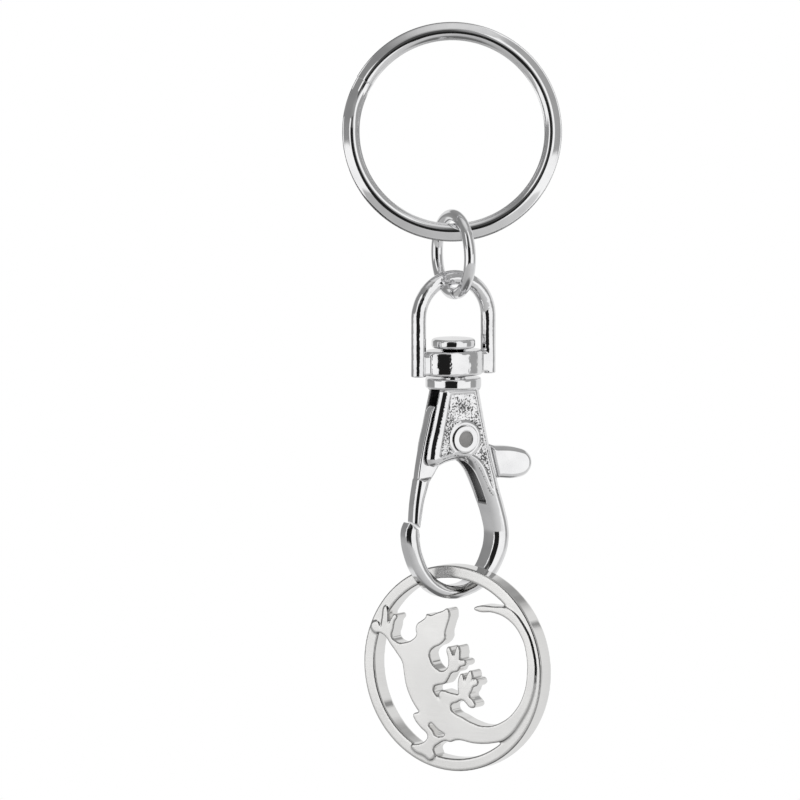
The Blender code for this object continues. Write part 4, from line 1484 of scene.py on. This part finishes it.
@dataclass
class Studio:
    """Floor, lamps, a tent that only reflections see, and the camera.

    The tent's greys go by the degrees above the horizon.
    """

    elevation: float = math.radians(6.5)
    point: float = 0.112 * MM
    picture: int = 800
    centre_x: float = 452
    top_y: float = 22
    distance: float = 1.5
    middle: float = -0.04
    floor_drop: float = 0.55
    lamp_distance: float = 0.6
    sky_level: float = 0.8
    tent_radius: float = 0.5
    side_slope: float = 0.7
    wander_waves: float = 7
    azimuth_wander: float = 9
    elevation_wander: float = 7
    floor_radius: float = 6
    paper: float = 0.9

    FLOOR_WHITES: ClassVar[Stops] = [(0.4, 0.7), (0.9, 1.0)]
    RIGHT_GREYS: ClassVar[Stops] = [
        (-90, 0.14), (-62, 0.16), (-50, 0.6), (-16, 0.68), (-9, 0.36), (30, 0.36), (58, 0.42),
        (68, 0.8), (90, 0.9),
    ]
    LEFT_GREYS: ClassVar[Stops] = [
        (-90, 0.14), (-62, 0.16), (-50, 0.42), (-16, 0.48), (-9, 0.32), (10, 0.27), (58, 0.24),
        (72, 0.5), (90, 0.7),
    ]
    PATCHES: ClassVar[Sequence[Patch]] = [
        Patch(166, 54, -15, 38, 0.8, 8), Patch(35, 16, 24, 38, 1.0), Patch(60, 13, -5, 8, 1.0),
        Patch(-44, 9, 17, 25, 1.0), Patch(-62, 20, -3, 9, 1.0), Patch(-12, 11, 32, 14, 0.07, 6),
        Patch(-9, 24, 3, 17, 0.014, 4), Patch(140, 1, 31, 1, 0.3), Patch(122, 1, 16, 1, 0.3),
    ]
    LAMPS: ClassVar[Sequence[Lamp]] = [
        Lamp("left_lamp", -54, 12, 0.42, 1.15), Lamp("right_lamp", 54, 12, 0.42, 1.15),
        Lamp("top_lamp", 0, 84, 0.4, 1.1),
    ]

    def camera(self) -> None:
        """Stand the camera so that the keyring fills its place in the picture."""
        up = Vector((0, math.sin(self.elevation), math.cos(self.elevation)))
        look = Vector((0, math.cos(self.elevation), -math.sin(self.elevation)))
        top = max(vertex.co.dot(up) for vertex in frame["nodes"]["split_ring"].data.vertices)
        half = self.picture / 2
        aim = up * (top - (half - self.top_y) * self.point)
        aim += Vector(((half - self.centre_x) * self.point, 0, 0))
        lens = bpy.data.cameras.new("camera")
        lens.lens = lens.sensor_width * self.distance / (self.picture * self.point)
        lens.clip_start = 0.01
        lens.clip_end = 50
        camera = linked("camera", lens)
        camera.location = aim - look * self.distance
        camera.rotation_euler = look.to_track_quat("-Z", "Y").to_euler()
        bpy.context.scene.camera = camera

    def world(self) -> None:
        """White to the eye and to metal, a plain pale level to everything else."""
        world = bpy.data.worlds.new("studio")
        bpy.context.scene.world = world
        world.use_nodes = True
        bench = Bench(world.node_tree)
        level = self.sky_level + (1 - self.sky_level) * bench.seen()
        sky = bench.node("ShaderNodeBackground", {}, {"Color": (1, 1, 1, 1), "Strength": level})
        bench.node("ShaderNodeOutputWorld", {}, {"Surface": sky})

    def tent(self) -> None:
        """Hang the tent: greys by elevation on either side, with white, grey and black patches."""
        work = bmesh.new()
        bmesh.ops.create_uvsphere(work, u_segments=64, v_segments=32, radius=self.tent_radius)
        item = to_object("tent", work, Matrix.Translation((0, 0, self.middle)))
        material, bench = new_material("tent")
        away = bench.node(
            "ShaderNodeVectorMath", {"operation": "SUBTRACT"},
            {0: bench.place(), 1: (0, 0, self.middle)}, "Vector",
        )
        x, y, z = bench.axes(away)
        wave = bench.noise(self.wander_waves, 2) - 0.5
        degrees = math.degrees(1)
        level_reach = (x * x + y * y) ** 0.5
        turn = bench.node("ShaderNodeMath", {"operation": "ARCTAN2"}, {0: x, 1: y * -1})
        rise = bench.node("ShaderNodeMath", {"operation": "ARCTAN2"}, {0: z, 1: level_reach})
        azimuth = turn * degrees + wave * self.azimuth_wander
        elevation = rise * degrees + wave * self.elevation_wander
        high = elevation * (1 / 180) + 0.5
        right = bench.ramp(high, [((at + 90) / 180, grey) for at, grey in self.RIGHT_GREYS])
        left = bench.ramp(high, [((at + 90) / 180, grey) for at, grey in self.LEFT_GREYS])
        side = bench.ramp(x * (self.side_slope / self.tent_radius) + 0.5, [(0, 0), (1, 1)])
        shade = left + (right - left) * side
        for patch in self.PATCHES:
            past = bench.node(
                "ShaderNodeMath", {"operation": "WRAP"},
                {0: azimuth - patch.azimuth, 1: 180, 2: -180},
            )
            mask = bench.within(past, 0, patch.half_width, patch.soft)
            mask = mask * bench.within(elevation, patch.elevation, patch.half_height, patch.soft)
            shade = shade + (patch.grey - shade) * mask
        glow = bench.node("ShaderNodeEmission", {}, {"Color": shade, "Strength": 1.0})
        bench.node("ShaderNodeOutputMaterial", {}, {"Surface": glow})
        item.data.materials.append(material)
        item.visible_camera = False
        item.visible_diffuse = False
        item.visible_shadow = False
        item.visible_transmission = False

    def floor(self) -> None:
        """A plain pale floor, white to the eye and to metal, with the keyring's shadow near it."""
        work = bmesh.new()
        bmesh.ops.create_circle(work, cap_ends=True, radius=self.floor_radius, segments=64)
        floor = to_object("floor", work, Matrix.Translation((0, 0, -self.floor_drop)))
        material, bench = new_material("floor")
        paper = bench.node("ShaderNodeBsdfDiffuse", {}, {"Color": (*[self.paper] * 3, 1)})
        white = bench.node("ShaderNodeEmission", {}, {"Color": (1, 1, 1, 1), "Strength": 1.0})
        away = bench.node(
            "ShaderNodeVectorMath", {"operation": "LENGTH"}, {0: bench.place()}, "Value"
        )
        share = bench.ramp(away, self.FLOOR_WHITES) * bench.seen()
        mixed = bench.node("ShaderNodeMixShader", {}, {0: share, 1: paper, 2: white})
        bench.node("ShaderNodeOutputMaterial", {}, {"Surface": mixed})
        floor.data.materials.append(material)

    def hang(self, lamp: Lamp) -> None:
        """Hang a lamp so that it looks at the keyring.

        Args:
            lamp: the lamp, a level of 1 being a white face.
        """
        data = bpy.data.lights.new(lamp.name, "AREA")
        data.shape = "SQUARE"
        data.size = lamp.size
        data.energy = lamp.level * math.pi * lamp.size * lamp.size
        item = linked(lamp.name, data)
        turn, rise = math.radians(lamp.azimuth), math.radians(lamp.elevation)
        level = math.cos(rise)
        away = Vector((math.sin(turn) * level, -math.cos(turn) * level, math.sin(rise)))
        item.location = Vector((0, 0, self.middle)) + away * self.lamp_distance
        item.rotation_euler = away.to_track_quat("Z", "Y").to_euler()
        item.visible_camera = False

    def build(self) -> None:
        """Set up the studio."""
        self.world()
        self.floor()
        self.tent()
        for lamp in self.LAMPS:
            self.hang(lamp)
        self.camera()
        bpy.context.scene.view_settings.view_transform = "Standard"
        log.info("studio ready")


def main() -> None:
    """Build every piece in order, dress it and set up the studio."""
    logging.basicConfig(level=logging.INFO, format="%(name)s: %(message)s")
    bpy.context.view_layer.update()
    ring_plate = Plating("ring_plate", roughness=0.05, rubbing=0.07)
    link_plate = Plating("link_plate", roughness=0.03, ripple=0.006 * MM)
    cast_plate = Plating(
        "cast_plate", roughness=0.035, ripple=0.12 * MM, ripple_waves=500, ripple_detail=3
    )
    clasp_plate = Plating("clasp_plate", roughness=0.04, ripple=0.004 * MM)
    body_plate = PebbledPlating("clasp_body_plate", roughness=0.04, ripple=0.004 * MM)
    dish = Plating("dull_dish", (0.36, 0.355, 0.35), (0.28, 0.275, 0.27), 0.4, 0.15)
    # Near-black painted shade for the pin heads' grooves.
    groove_shade = Plating("groove_shade", (0.05, 0.048, 0.045), (0.03, 0.03, 0.03), 0.4, 0.1)
    link, clasp_metal = link_plate.make(), clasp_plate.make()

    dress(SplitRing().build(), "split_ring", "split_ring", [ring_plate.make()])
    dress(JumpRing().build(), "jump_ring", "jump_ring", [link])
    swivel = Swivel()
    dress(swivel.build(), "swivel_shackle", "shackle", [cast_plate.make()])
    dress(swivel.build_rivet(), "swivel_rivet", "clasp", [link])
    clasp = Clasp()
    dress(clasp.build_body(), "clasp_body", "clasp", [body_plate.make()])
    dress(clasp.build_lever(), "gate_lever", "gate", [clasp_metal])
    pin_finish = [clasp_metal, dish.make(), groove_shade.make()]
    dress(clasp.build_pin(), "pivot_pin", "clasp", pin_finish)
    coin_metal = SatinPlate("coin_plate").make()
    dress(TrolleyCoin().build(), "trolley_coin", "coin", [coin_metal])
    spring = frame["nodes"]["gate_spring"]
    spring.data.materials.clear()
    spring.data.materials.append(DrawnWire("spring_wire").make())
    log.info("gate_spring keeps its CAD shape")

    Studio().build()


if __name__ == "__main__":
    main()
